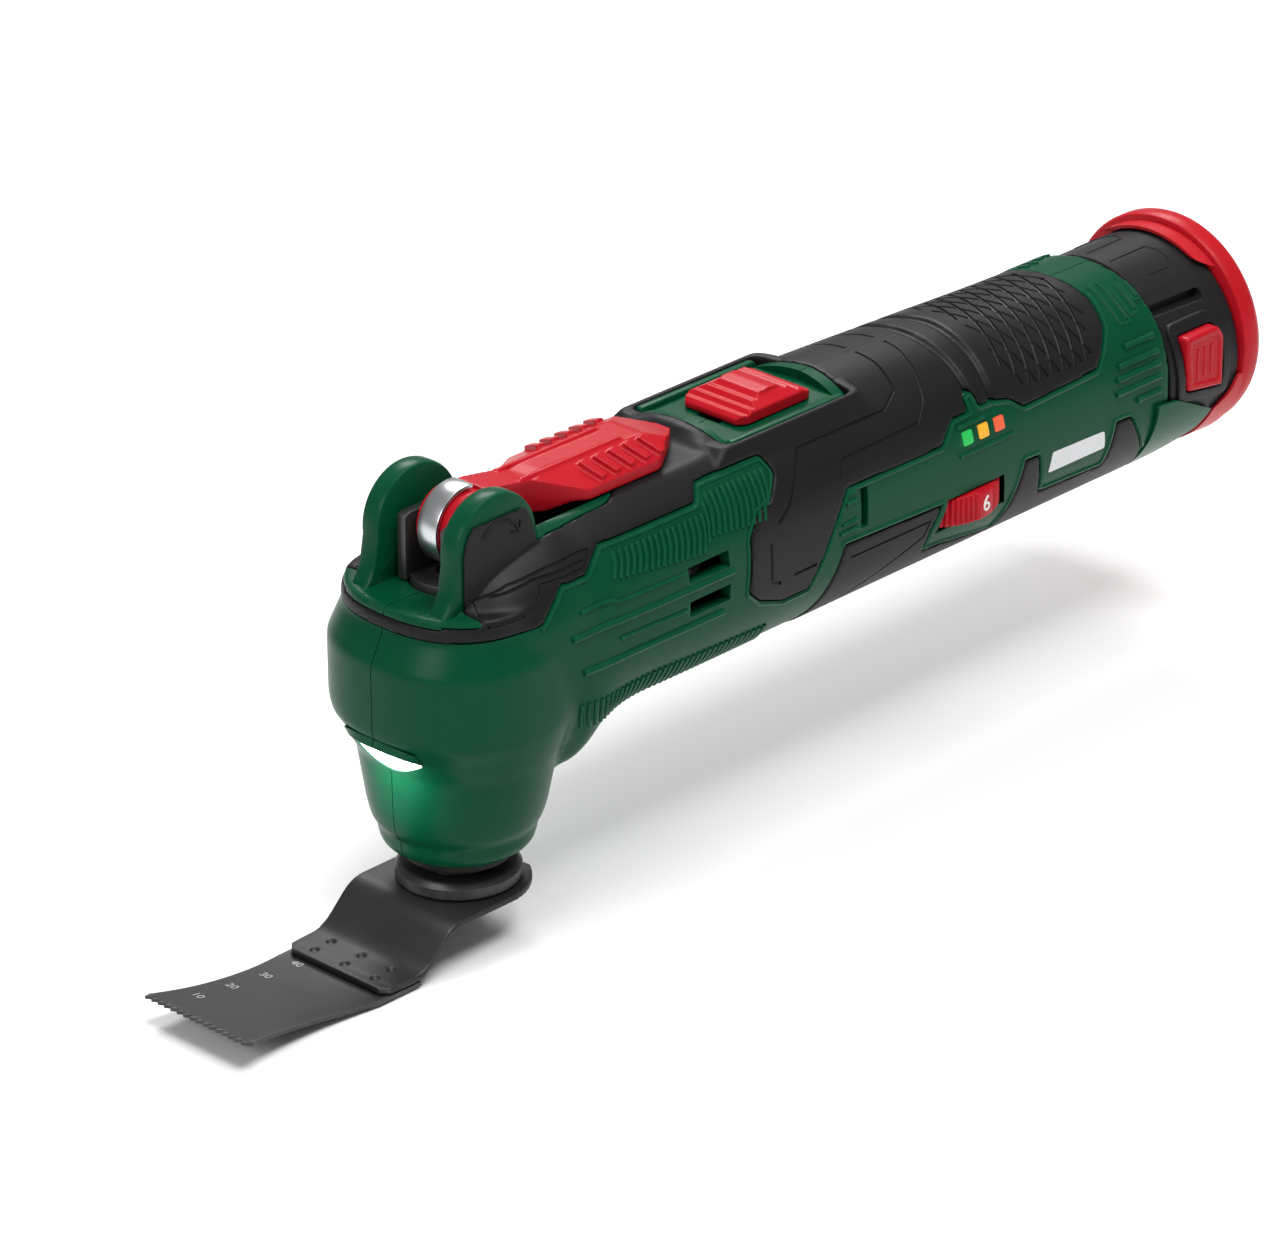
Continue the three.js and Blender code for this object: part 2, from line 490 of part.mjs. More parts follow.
// ---- battery ---------------------------------------------------------------------------
const B = BATTERY;
const packShell = turnX([[19.9, B.x0], [B.stem, B.x0], [B.stem, B.x0 + 48.5], [B.body, B.x0 + 48.5],
  [B.body, B.x1 - 2], [19.9, B.x1 - 2], [19.9, B.x0]], 0, B.z, 36);
const BUTTON = [[216.4, 58.6], [229.2, 56.6], [229.2, 69.4], [227.2, 72.2], [215.6, 72.2]];
const buttonHole = prismY(outline(BUTTON, -0.4), -40, -18);
add("battery_shell", packShell.subtract(buttonHole).subtract(buttonHole.mirror([0, 1, 0])), BLACK);
for (const [side, word] of [[-1, "left"], [1, "right"]]) {
  const y0 = side < 0 ? -26.3 : 22.6;
  add(`release_button_${word}`, prismY(outline(BUTTON), y0, y0 + 3.7), RED);
}
add("battery_end_cap", turnX([[0, CAP.x0], [CAP.r - 2, CAP.x0], [CAP.r, CAP.x0 + 1.6], [CAP.r, CAP.x1 - 2.4],
  [CAP.r - 2.4, CAP.x1], [0, CAP.x1]], 0, CAP.z, 40), RED);
for (let i = 0; i < 3; i++) {
  const a = Math.PI / 2 + (i * 2 * Math.PI) / 3;
  const reach = 10.75;
  add(`battery_cell_${i + 1}`, turnX(disc(9, 166, 231), reach * Math.cos(a), B.z + reach * Math.sin(a), 24), CELL);
}
add("battery_terminals", turnX(disc(19.5, B.x0 + 0.2, B.x0 + 2.4), 0, B.z, 32), BLACK);

export default group;
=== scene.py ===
"""Cordless oscillating multi tool with a plunge saw blade: the finished pieces on the fixed frame."""

import math

import bmesh
import bpy
import numpy as np
from mathutils import Matrix, Vector
from mathutils.bvhtree import BVHTree


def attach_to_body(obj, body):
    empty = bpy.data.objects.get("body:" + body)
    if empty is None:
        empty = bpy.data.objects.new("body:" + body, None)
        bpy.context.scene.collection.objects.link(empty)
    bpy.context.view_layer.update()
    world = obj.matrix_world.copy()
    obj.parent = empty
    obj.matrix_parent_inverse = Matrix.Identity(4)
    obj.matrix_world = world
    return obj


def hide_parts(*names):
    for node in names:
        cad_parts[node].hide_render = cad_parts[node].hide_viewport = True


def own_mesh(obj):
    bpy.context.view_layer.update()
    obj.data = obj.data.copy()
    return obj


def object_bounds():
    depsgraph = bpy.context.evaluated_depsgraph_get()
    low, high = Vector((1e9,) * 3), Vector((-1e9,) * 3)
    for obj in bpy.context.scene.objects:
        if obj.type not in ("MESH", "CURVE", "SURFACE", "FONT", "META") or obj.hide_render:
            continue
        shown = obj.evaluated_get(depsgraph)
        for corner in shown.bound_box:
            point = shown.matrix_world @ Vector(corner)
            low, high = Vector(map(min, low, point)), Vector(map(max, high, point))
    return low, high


bl_info = {
    "name": "Oscillating multi tool",
    "version": (1, 0, 0),
    "blender": (4, 5, 0),
    "location": "View3D > Sidebar > Multi tool",
    "description": "Makes the moulded, turned and stamped pieces of a cordless oscillating multi tool",
    "category": "Add Mesh",
}

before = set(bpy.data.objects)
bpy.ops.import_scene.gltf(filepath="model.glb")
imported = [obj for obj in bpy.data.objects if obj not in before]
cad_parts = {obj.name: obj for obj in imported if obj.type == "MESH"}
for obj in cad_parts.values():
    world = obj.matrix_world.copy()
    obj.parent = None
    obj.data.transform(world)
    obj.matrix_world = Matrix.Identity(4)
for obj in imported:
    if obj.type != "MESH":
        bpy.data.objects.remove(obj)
CAD_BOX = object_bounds()
MM = 0.001
FAR = 60.0      # mm, beyond the tool on either side

# ---- shape of the housing, in millimetres ----------------------------------------------
ROUNDNESS = 2.25
AXIS_Z = 61.0
# handle stations: x, half width, top z, bottom z, height of the flat that cuts the top off
HANDLE = [
    (-12.5, 21.5, 80, 50, 88), (-4, 25, 85, 48, 88), (4, 26.4, 88, 40, 88), (12, 26.9, 90, 34, 88),
    (18.5, 27, 90.8, 25, 88), (23, 27, 91, 30, 88), (29, 27, 91, 34, 88), (38, 27, 91, 35.6, 88),
    (64, 26.8, 90.9, 35.7, 88), (70, 26.7, 90.8, 35.7, 91), (110, 26.1, 90.1, 35.7, 91),
    (150, 25.7, 88.6, 35.7, 91), (196, 25.2, 86.8, 35.7, 91), (211, 25.3, 86.6, 35.7, 91),
]
# head stations: z, reach to the front, half width, exponent of the outline
HEAD = [
    (13, 14.2, 14.2, 2), (14.6, 16.7, 16.9, 2), (16.6, 17.4, 17.8, 2), (19.4, 17.5, 17.9, 2),
    (20.6, 18.9, 19.2, 2), (24.8, 19.6, 20.6, 2), (37, 19.8, 23.8, 2.1), (39.4, 21.2, 24.6, 2.15),
    (43.4, 23, 25.7, 2.2), (47, 25.3, 26.6, 2.3), (50, 25.3, 26.9, 2.4), (64, 25.3, 26.9, 2.4),
    (71.2, 21.4, 24.4, 2.4), (76.5, 21, 23.6, 2.4),
]
SHELF_Z = 76.5
CORNER = 0.9    # rounding of the outlines of the overmoulds
PROUD = 0.32    # how far an overmould stands out of the body
GAP = 0.28      # between an overmould and the edge of its recess
GRIP_DEPTH = 1.4    # how far an overmould reaches into the body
RECESS_DEPTH = 1.75
WALL = 3.2
HANDLE_END = 211
SIDES = ((-1, "left"), (1, "right"))
LENGTHWAYS = (-60, 260)     # x, past both ends of the tool
# side outline of the upper soft overmould: band round the head, top of the handle, grip
UPPER = [
    (-30, 71.4), (2, 72.2), (9.8, 78.3), (17.9, 77.8), (23.7, 82.4), (53.8, 82.3), (56.9, 85.4), (77.7, 85.2),
    (78.9, 81.7), (74.7, 77), (69.9, 76), (66, 71.3), (65.1, 58.5), (68.9, 55.2), (77.5, 52),
    (86.2, 51.9), (92.7, 64.2), (98.6, 72.4), (131.2, 71.9), (135.7, 76.2), (142.2, 76.4),
    (142.2, 79.8), (145.2, 80), (145.8, 76.6), (149.5, 76.6),
    (155.9, 75.3), (159.7, 72.4), (186.7, 72.8), (194, 79.6), (196.5, 84.5), (197.5, 96), (-30, 96),
]
# side outline of the lower soft overmould along the underside
LOWER = [
    (88, 30), (97, 59.6), (130.4, 58.2), (127.4, 52), (127.4, 46.5), (134, 46), (155, 42), (156.5, 50),
    (159, 59.8), (164, 59.6), (166.5, 48.8), (190, 47.6), (191.7, 58.7), (197.1, 58.4), (204, 48),
    (206, 44), (206, 30),
]
EAR = {"x": -1.0, "z": 88.4, "r": 12.4, "inner": 9.2, "outer": 14.6}
PIVOT = (1.5, 89.0)
TRAY = {"x0": 72.8, "x1": 108.4, "half": 13.0, "floor": 87.9}
DIAL = {"x": 142.0, "y": -11.5, "z": 54.5, "r": 16.0, "t": 7.0}
DIGITS = 6
DIGIT_TURN = 6.0    # degrees, of the digit that shows at rest
SCREWS = [(-4, 57), (33, 46), (84, 44.5), (128, 66), (150, 52)]
WINDOWS_X = (139.8, 145.3, 150.8)


# ---- mesh tools --------------------------------------------------------------------------
def piece_from(name, verts, faces):
    """A new piece from corners in millimetres."""
    mesh = bpy.data.meshes.new(name)
    mesh.from_pydata([(x * MM, y * MM, z * MM) for x, y, z in verts], [], faces)
    piece = bpy.data.objects.new(name, mesh)
    bpy.context.scene.collection.objects.link(piece)
    return piece


def discard(piece):
    """Removes a piece and its mesh."""
    mesh = piece.data
    bpy.data.objects.remove(piece)
    if mesh.users == 0:
        bpy.data.meshes.remove(mesh)


def outward(piece, merge=1e-7):
    """Closes doubled corners and turns every face outwards."""
    bm = bmesh.new()
    bm.from_mesh(piece.data)
    bmesh.ops.remove_doubles(bm, verts=bm.verts, dist=merge)
    bmesh.ops.recalc_face_normals(bm, faces=bm.faces)
    bm.to_mesh(piece.data)
    bm.free()
    return piece


def settle(piece):
    """Turns a piece's modifiers into its mesh."""
    graph = bpy.context.evaluated_depsgraph_get()
    mesh = bpy.data.meshes.new_from_object(piece.evaluated_get(graph), depsgraph=graph)
    old = piece.data
    piece.modifiers.clear()
    piece.data = mesh
    bpy.data.meshes.remove(old)
    return piece


def copy_of(piece, name="copy"):
    """A second piece with a mesh of its own."""
    twin = bpy.data.objects.new(name, piece.data.copy())
    bpy.context.scene.collection.objects.link(twin)
    return twin


def carve(piece, cutters, how="DIFFERENCE", keep=False):
    """Cuts closed tools out of a piece, or joins or crosses them with it."""
    for cutter in cutters:
        cut = piece.modifiers.new("cut", "BOOLEAN")
        cut.operation = how
        cut.solver = "MANIFOLD"
        cut.object = cutter
    settle(piece)
    if not len(piece.data.polygons):
        raise RuntimeError(f"nothing is left of {piece.name} after a cut")
    if not keep:
        for cutter in cutters:
            discard(cutter)
    return piece


def attach(piece, *parts, slot=0):
    """Adds parts to a piece's mesh as bodies of their own, in the piece's material slot."""
    bm = bmesh.new()
    bm.from_mesh(piece.data)
    for part in parts:
        start = len(bm.faces)
        bm.from_mesh(part.data)
        bm.faces.ensure_lookup_table()
        for face in bm.faces[start:]:
            face.material_index = slot
        discard(part)
    bm.to_mesh(piece.data)
    bm.free()
    return piece


def melt(piece, voxel, rounds, factor=0.5, limit=190000):
    """Remeshes a piece evenly and softens its edges, as a moulding's edges are."""
    fine = piece.modifiers.new("fine", "REMESH")
    fine.mode = "VOXEL"
    fine.voxel_size = voxel * MM
    soft = piece.modifiers.new("soft", "SMOOTH")
    soft.iterations = rounds
    soft.factor = factor
    settle(piece)
    count = 2 * len(piece.data.polygons)
    if count > limit:
        thin = piece.modifiers.new("thin", "DECIMATE")
        thin.ratio = limit / count
        settle(piece)
    return piece


def smooth(piece, angle=32):
    """Smooth shading with crisp edges where the surface turns by more than the angle."""
    piece.data.polygons.foreach_set("use_smooth", [True] * len(piece.data.polygons))
    piece.data.set_sharp_from_angle(angle=math.radians(angle))
    piece.data.update()
    return piece


def loft(name, rings):
    """A closed skin over rings that have the same number of corners."""
    count = len(rings[0])
    verts = [p for ring in rings for p in ring]
    faces = []
    for i in range(len(rings) - 1):
        for j in range(count):
            k = (j + 1) % count
            faces.append((i * count + j, i * count + k, (i + 1) * count + k, (i + 1) * count + j))
    faces.append(tuple(range(count)))
    faces.append(tuple(range(len(verts) - count, len(verts))))
    return outward(piece_from(name, verts, faces))


def shrunk(points, inset):
    """The outline drawn in by the inset along every side."""
    p = [Vector(q) for q in points]
    area = sum(a.x * b.y - b.x * a.y for a, b in zip(p, p[1:] + p[:1]))
    turn = 1 if area > 0 else -1
    result = []
    for i, q in enumerate(p):
        back = (q - p[i - 1]).normalized()
        ahead = (p[(i + 1) % len(p)] - q).normalized()
        normal = Vector((-back.y - ahead.y, back.x + ahead.x)) * turn
        result.append(tuple(q + normal * (inset / max(0.3, 1 + back.dot(ahead)))))
    return result


def softened(points, radius, steps=4):
    """The outline with its corners rounded."""
    p = [Vector(q) for q in points]
    result = []
    for i, q in enumerate(p):
        back, ahead = p[i - 1] - q, p[(i + 1) % len(p)] - q
        reach = min(radius, back.length * 0.45, ahead.length * 0.45)
        a, b = q + back.normalized() * reach, q + ahead.normalized() * reach
        for k in range(steps + 1):
            t = k / steps
            result.append(tuple(a.lerp(q, t).lerp(q.lerp(b, t), t)))
    return result


def prism(name, outline, low, high, across="y", edge=0.0):
    """An outline carried across the tool, with its two ends bevelled."""
    place = {"x": lambda u, v, t: (t, u, v),
             "y": lambda u, v, t: (u, t, v),
             "z": lambda u, v, t: (u, v, t)}[across]
    levels = [(low, 0), (high, 0)]
    if edge:
        levels = [(low, edge), (low + edge * 0.3, edge * 0.3), (low + edge, 0),
                  (high - edge, 0), (high - edge * 0.3, edge * 0.3), (high, edge)]
    return loft(name, [[place(u, v, t) for u, v in (shrunk(outline, i) if i else outline)]
                       for t, i in levels])


def block(x0, x1, y0, y1, z0, z1, edge=0.0):
    """A box between two corners."""
    return prism("block", [(x0, y0), (x1, y0), (x1, y1), (x0, y1)], z0, z1, "z", edge)


def half_space(side, seam):
    """Everything on one side of the tool, from half the seam's width outwards."""
    y0, y1 = sorted((side * seam, side * FAR))
    return block(*LENGTHWAYS, y0, y1, -10, 130)


def along(table, stations):
    """Rows of the table eased between its stations without overshoot."""
    rows = np.array(table, float)
    x, y = rows[:, 0], rows[:, 1:]
    h = np.diff(x)[:, None]
    d = np.diff(y, axis=0) / h
    m = np.vstack([d[:1], np.zeros_like(d[1:]), d[-1:]])
    for k in range(1, len(d)):
        same = d[k - 1] * d[k] > 0
        m[k][same] = (2 * d[k - 1] * d[k])[same] / (d[k - 1] + d[k])[same]
    t = np.clip(np.array(stations, float), x[0], x[-1])
    i = np.clip(np.searchsorted(x, t, side="right") - 1, 0, len(x) - 2)
    s = ((t - x[i]) / (x[i + 1] - x[i]))[:, None]
    return ((1 + 2 * s) * (1 - s) ** 2 * y[i] + s * (1 - s) ** 2 * h[i] * m[i]
            + s * s * (3 - 2 * s) * y[i + 1] + s * s * (s - 1) * h[i] * m[i + 1])


def power(v, e):
    """The power of a number's size, with the number's sign."""
    return math.copysign(abs(v) ** e, v)


def handle(inset, x0, x1, step=2.0, around=120):
    """The barrel of the handle between two stations, drawn in by the inset."""
    stations = list(np.linspace(x0, x1, max(2, int((x1 - x0) / step))))
    rings = []
    for x, (half, top, bottom, flat) in zip(stations, along(HANDLE, stations)):
        ring = []
        for k in range(around):
            a = 2 * math.pi * k / around
            y = power(math.cos(a), 2 / ROUNDNESS) * (half - inset)
            z = (top + bottom) / 2 + power(math.sin(a), 2 / ROUNDNESS) * ((top - bottom) / 2 - inset)
            ring.append((x, y, min(z, flat - inset)))
        rings.append(ring)
    return loft("handle", rings)


def head_ring(z, inset, around=120):
    """The head's outline at a height."""
    rows = np.array(HEAD, float)
    reach, half, exponent = (np.interp(z, rows[:, 0], rows[:, k]) for k in (1, 2, 3))
    ring = []
    for k in range(around):
        a = 2 * math.pi * k / around
        ring.append((power(math.cos(a), 2 / exponent) * (reach - inset),
                     power(math.sin(a), 2 / exponent) * (half - inset), z))
    return ring


def head(inset, z0, z1, step=1.0):
    """The head between two heights, drawn in by the inset."""
    return loft("head", [head_ring(z, inset) for z in np.linspace(z0, z1, max(3, int((z1 - z0) / step)))])


def core(inset, x0=-11.0, x1=HANDLE_END + 1.0, z0=14.0, z1=75.0):
    """Handle and head together, drawn in by the inset."""
    return carve(handle(inset, x0, x1, 4.0, 72), [head(inset, z0, z1, 2.0)], "UNION")


def grown(piece, distance):
    """A copy of an even mesh moved out along its own normals."""
    twin = copy_of(piece)
    mesh = twin.data
    co = np.empty(len(mesh.vertices) * 3)
    no = np.empty(len(mesh.vertices) * 3)
    mesh.vertices.foreach_get("co", co)
    mesh.vertex_normals.foreach_get("vector", no)
    mesh.vertices.foreach_set("co", co + no * distance * MM)
    mesh.update()
    return twin


kept = {}


def outer_body():
    """The whole outside of the tool's body as one even, softened solid."""
    if "body" not in kept:
        body = carve(handle(0, -12.5, HANDLE_END), [head(0, 13, SHELF_Z)], "UNION")
        fine = body.modifiers.new("fine", "REMESH")
        fine.mode = "VOXEL"
        fine.voxel_size = 0.8 * MM
        settle(body)
        neck = body.vertex_groups.new(name="neck")
        mesh = body.data
        co = np.empty(len(mesh.vertices) * 3)
        mesh.vertices.foreach_get("co", co)
        co = co.reshape(-1, 3) / MM
        near = np.clip(1 - np.hypot(co[:, 0] - 20, (co[:, 2] - 42) * 0.6) / 22, 0, 1)
        for level in range(1, 9):
            members = np.nonzero((near > (level - 1) / 8) & (near <= level / 8))[0].tolist()
            neck.add(members, level / 8, "REPLACE")
        blend = body.modifiers.new("blend", "SMOOTH")
        blend.iterations = 60
        blend.factor = 0.6
        blend.vertex_group = "neck"
        soft = body.modifiers.new("soft", "SMOOTH")
        soft.iterations = 3
        settle(body)
        body.vertex_groups.clear()
        body.name = "body_form"
        kept["body"] = body
        kept["tree"] = BVHTree.FromObject(body, bpy.context.evaluated_depsgraph_get())
    return kept["body"]


def on_side(x, z, side=-1):
    """The point of the body's surface met from the side, in millimetres."""
    outer_body()
    hit, normal, _, _ = kept["tree"].ray_cast(Vector((x, side * FAR, z)) * MM, Vector((0, -side, 0)))
    if hit is None:
        raise RuntimeError(f"no surface at x {x}, z {z}")
    return hit / MM, normal


def on_round(x, angle, side=-1):
    """The point of the surface at an angle from the top, in degrees, down the given side."""
    outer_body()
    way = Vector((0, side * math.sin(math.radians(angle)), math.cos(math.radians(angle))))
    hit, normal, _, _ = kept["tree"].ray_cast((Vector((x, 0, AXIS_Z)) + way * FAR) * MM, -way)
    if hit is None:
        raise RuntimeError(f"no surface at x {x}, angle {angle}")
    return hit / MM, normal


def drawn(corners, side=-1, step=1.2, lift=0.0, find=on_side):
    """A line over the surface through corners given in side view, or as x and angle with on_round."""
    points = []
    for (x0, z0), (x1, z1) in zip(corners, corners[1:]):
        parts = max(1, int(math.hypot(x1 - x0, z1 - z0) / step))
        for k in range(parts):
            points.append((x0 + (x1 - x0) * k / parts, z0 + (z1 - z0) * k / parts))
    points.append(corners[-1])
    placed = []
    for u, v in points:
        hit, normal = find(u, v, side)
        placed.append(tuple(hit + normal * lift))
    return placed


# ---- geometry node trees -----------------------------------------------------------------
def new_tree(name, inputs):
    tree = bpy.data.node_groups.new(name, "GeometryNodeTree")
    tree.interface.new_socket("Geometry", in_out="INPUT", socket_type="NodeSocketGeometry")
    for label, kind, default in inputs:
        socket = tree.interface.new_socket(label, in_out="INPUT", socket_type=kind)
        if default is not None:
            socket.default_value = default
    tree.interface.new_socket("Geometry", in_out="OUTPUT", socket_type="NodeSocketGeometry")
    return tree, tree.nodes.new("NodeGroupInput").outputs


def put(tree, kind, sockets=None, **settings):
    node = tree.nodes.new(kind)
    for key, value in settings.items():
        setattr(node, key, value)
    for key, value in (sockets or {}).items():
        if isinstance(value, bpy.types.NodeSocket):
            tree.links.new(value, node.inputs[key])
        else:
            node.inputs[key].default_value = value
    return node


def finish_tree(tree, geometry, material):
    real = put(tree, "GeometryNodeRealizeInstances", {0: geometry})
    painted = put(tree, "GeometryNodeSetMaterial", {"Geometry": real.outputs[0], "Material": material})
    put(tree, "NodeGroupOutput", {0: painted.outputs[0]})
    return tree


def bead_tree():
    """Round beads swept along every line of the input."""
    tree, given = new_tree("beads_along_lines", [
        ("Radius", "NodeSocketFloat", 0.4 * MM), ("Sides", "NodeSocketInt", 8),
        ("Material", "NodeSocketMaterial", None)])
    curve = put(tree, "GeometryNodeMeshToCurve", {"Mesh": given["Geometry"]})
    profile = put(tree, "GeometryNodeCurvePrimitiveCircle",
                  {"Resolution": given["Sides"], "Radius": given["Radius"]})
    swept = put(tree, "GeometryNodeCurveToMesh",
                {"Curve": curve.outputs[0], "Profile Curve": profile.outputs[0], "Fill Caps": True})
    return finish_tree(tree, swept.outputs[0], given["Material"])


def turned_tree():
    """The input's line of corners, radius along X and height along Z, turned about Z."""
    tree, given = new_tree("turned_profile", [
        ("Segments", "NodeSocketInt", 64), ("Stations", "NodeSocketInt", 8),
        ("Material", "NodeSocketMaterial", None)])
    across = put(tree, "ShaderNodeMath", {0: given["Segments"], 1: 1.0}, operation="ADD").outputs[0]
    grid = put(tree, "GeometryNodeMeshGrid", {"Vertices X": given["Stations"], "Vertices Y": across})
    index = put(tree, "GeometryNodeInputIndex").outputs[0]
    rows = put(tree, "ShaderNodeMath", {0: index, 1: across}, operation="DIVIDE").outputs[0]
    row = put(tree, "ShaderNodeMath", {0: rows}, operation="FLOOR").outputs[0]
    column = put(tree, "ShaderNodeMath", {0: index, 1: across}, operation="MODULO").outputs[0]
    turn = put(tree, "ShaderNodeMath", {0: column, 1: 2 * math.pi}, operation="MULTIPLY").outputs[0]
    angle = put(tree, "ShaderNodeMath", {0: turn, 1: given["Segments"]}, operation="DIVIDE").outputs[0]
    sample = put(tree, "GeometryNodeSampleIndex", {"Geometry": given["Geometry"], "Index": row},
                 data_type="FLOAT_VECTOR")
    place = put(tree, "GeometryNodeInputPosition").outputs[0]
    tree.links.new(place, sample.inputs["Value"])
    split = put(tree, "ShaderNodeSeparateXYZ", {0: sample.outputs["Value"]}).outputs
    radial = []
    for operation in ("COSINE", "SINE"):
        wave = put(tree, "ShaderNodeMath", {0: angle}, operation=operation).outputs[0]
        radial.append(put(tree, "ShaderNodeMath", {0: wave, 1: split["X"]}, operation="MULTIPLY").outputs[0])
    point = put(tree, "ShaderNodeCombineXYZ", {0: radial[0], 1: radial[1], 2: split["Z"]}).outputs[0]
    moved = put(tree, "GeometryNodeSetPosition", {"Geometry": grid.outputs["Mesh"], "Position": point})
    closed = put(tree, "GeometryNodeMergeByDistance", {"Geometry": moved.outputs[0], "Distance": 1e-6})
    return finish_tree(tree, closed.outputs[0], given["Material"])


def row_tree():
    """Copies of the input in an even row."""
    tree, given = new_tree("even_row", [
        ("Count", "NodeSocketInt", 5), ("Step", "NodeSocketVector", (1 * MM, 0, 0)),
        ("Material", "NodeSocketMaterial", None)])
    line = put(tree, "GeometryNodeMeshLine", {"Count": given["Count"], "Offset": given["Step"]},
               mode="OFFSET")
    row = put(tree, "GeometryNodeInstanceOnPoints",
              {"Points": line.outputs[0], "Instance": given["Geometry"]})
    return finish_tree(tree, row.outputs[0], given["Material"])


def scatter_tree():
    """Copies of the item on every corner of the input."""
    tree, given = new_tree("item_on_points", [
        ("Item", "NodeSocketObject", None), ("Material", "NodeSocketMaterial", None)])
    item = put(tree, "GeometryNodeObjectInfo", {"Object": given["Item"]})
    copies = put(tree, "GeometryNodeInstanceOnPoints",
                 {"Points": given["Geometry"], "Instance": item.outputs["Geometry"]})
    return finish_tree(tree, copies.outputs[0], given["Material"])


TREES = {"beads": bead_tree, "turned": turned_tree, "row": row_tree, "scatter": scatter_tree}


def grow(piece, kind, **values):
    """Runs a geometry node tree on a piece and keeps the result as a plain mesh."""
    if kind not in kept:
        kept[kind] = TREES[kind]()
    modifier = piece.modifiers.new(kind, "NODES")
    modifier.node_group = kept[kind]
    for socket in kept[kind].interface.items_tree:
        label = socket.name.lower()
        if socket.in_out == "INPUT" and label in values:
            modifier[socket.identifier] = values[label]
    return outward(settle(piece))


def lines_from(name, lines):
    """A piece of bare edges along lines of corners in millimetres."""
    verts = [p for line in lines for p in line]
    edges, start = [], 0
    for line in lines:
        edges += [(start + k, start + k + 1) for k in range(len(line) - 1)]
        start += len(line)
    mesh = bpy.data.meshes.new(name)
    mesh.from_pydata([(x * MM, y * MM, z * MM) for x, y, z in verts], edges, [])
    piece = bpy.data.objects.new(name, mesh)
    bpy.context.scene.collection.objects.link(piece)
    return piece


def beads(name, lines, radius, material, sides=8):
    """Round beads of a radius in millimetres along lines of corners."""
    return grow(lines_from(name, lines), "beads", radius=radius * MM, sides=sides, material=material)


def turned(name, profile, material, segments=72, about="z", at=(0, 0, 0)):
    """A turned piece from corners of radius and height."""
    piece = lines_from(name, [[(r, 0, h) for r, h in profile]])
    grow(piece, "turned", segments=segments, stations=len(profile), material=material)
    turn = {"z": Matrix.Identity(4), "x": Matrix.Rotation(math.pi / 2, 4, "Y"),
            "y": Matrix.Rotation(-math.pi / 2, 4, "X")}
    piece.data.transform(Matrix.Translation(Vector(at) * MM) @ turn[about])
    return piece


def lettering(text, size, thick, material):
    """Raised lettering lying in the XY plane, its middle at the origin, as a mesh in millimetre scale."""
    curve = bpy.data.curves.new("lettering", "FONT")
    curve.body = text
    curve.size = size * MM
    curve.extrude = thick / 2 * MM
    curve.align_x = "CENTER"
    curve.align_y = "CENTER"
    curve.resolution_u = 6
    holder = bpy.data.objects.new("lettering", curve)
    bpy.context.scene.collection.objects.link(holder)
    graph = bpy.context.evaluated_depsgraph_get()
    mesh = bpy.data.meshes.new_from_object(holder.evaluated_get(graph), depsgraph=graph)
    bpy.data.objects.remove(holder)
    bpy.data.curves.remove(curve)
    mesh.materials.clear()
    mesh.materials.append(material)
    piece = bpy.data.objects.new("lettering", mesh)
    bpy.context.scene.collection.objects.link(piece)
    return outward(piece, 1e-6)


# ---- materials ---------------------------------------------------------------------------
def shader_group(name, inputs, outputs):
    tree = bpy.data.node_groups.new(name, "ShaderNodeTree")
    for label, default in inputs:
        tree.interface.new_socket(label, in_out="INPUT",
                                  socket_type="NodeSocketFloat").default_value = default
    for label in outputs:
        tree.interface.new_socket(label, in_out="OUTPUT", socket_type="NodeSocketFloat")
    return tree, put(tree, "NodeGroupInput").outputs, put(tree, "ShaderNodeTexCoord").outputs["Object"]


def grain_group():
    """Fine mould grain and a slow mottle."""
    tree, given, place = shader_group("mould_grain", [("Fine scale", 2600.0), ("Slow scale", 34.0)],
                                      ["Height", "Mottle"])
    fine = put(tree, "ShaderNodeTexNoise", {"Vector": place, "Scale": given["Fine scale"], "Detail": 3.0})
    slow = put(tree, "ShaderNodeTexNoise", {"Vector": place, "Scale": given["Slow scale"], "Detail": 5.0})
    put(tree, "NodeGroupOutput", {"Height": fine.outputs["Fac"], "Mottle": slow.outputs["Fac"]})
    return tree


def scuff_highlight_group():
    """Rubbed wear and painted edge highlight: a mask where the surface is sharply convex, broken up by a noise.
    """
    tree, given, place = shader_group("edge_scuff_and_highlight", [("Start", 0.53), ("Amount", 0.5)], ["Mask"])
    point = put(tree, "ShaderNodeNewGeometry").outputs["Pointiness"]
    end = put(tree, "ShaderNodeMath", {0: given["Start"], 1: 0.09}, operation="ADD").outputs[0]
    edge = put(tree, "ShaderNodeMapRange", {"Value": point, "From Min": given["Start"],
                                            "From Max": end}).outputs[0]
    noise = put(tree, "ShaderNodeTexNoise", {"Vector": place, "Scale": 420.0, "Detail": 4.0}).outputs["Fac"]
    broken = put(tree, "ShaderNodeMath", {0: edge, 1: noise}, operation="MULTIPLY").outputs[0]
    mask = put(tree, "ShaderNodeMath", {0: broken, 1: given["Amount"]}, operation="MULTIPLY", use_clamp=True)
    put(tree, "NodeGroupOutput", {"Mask": mask.outputs[0]})
    return tree


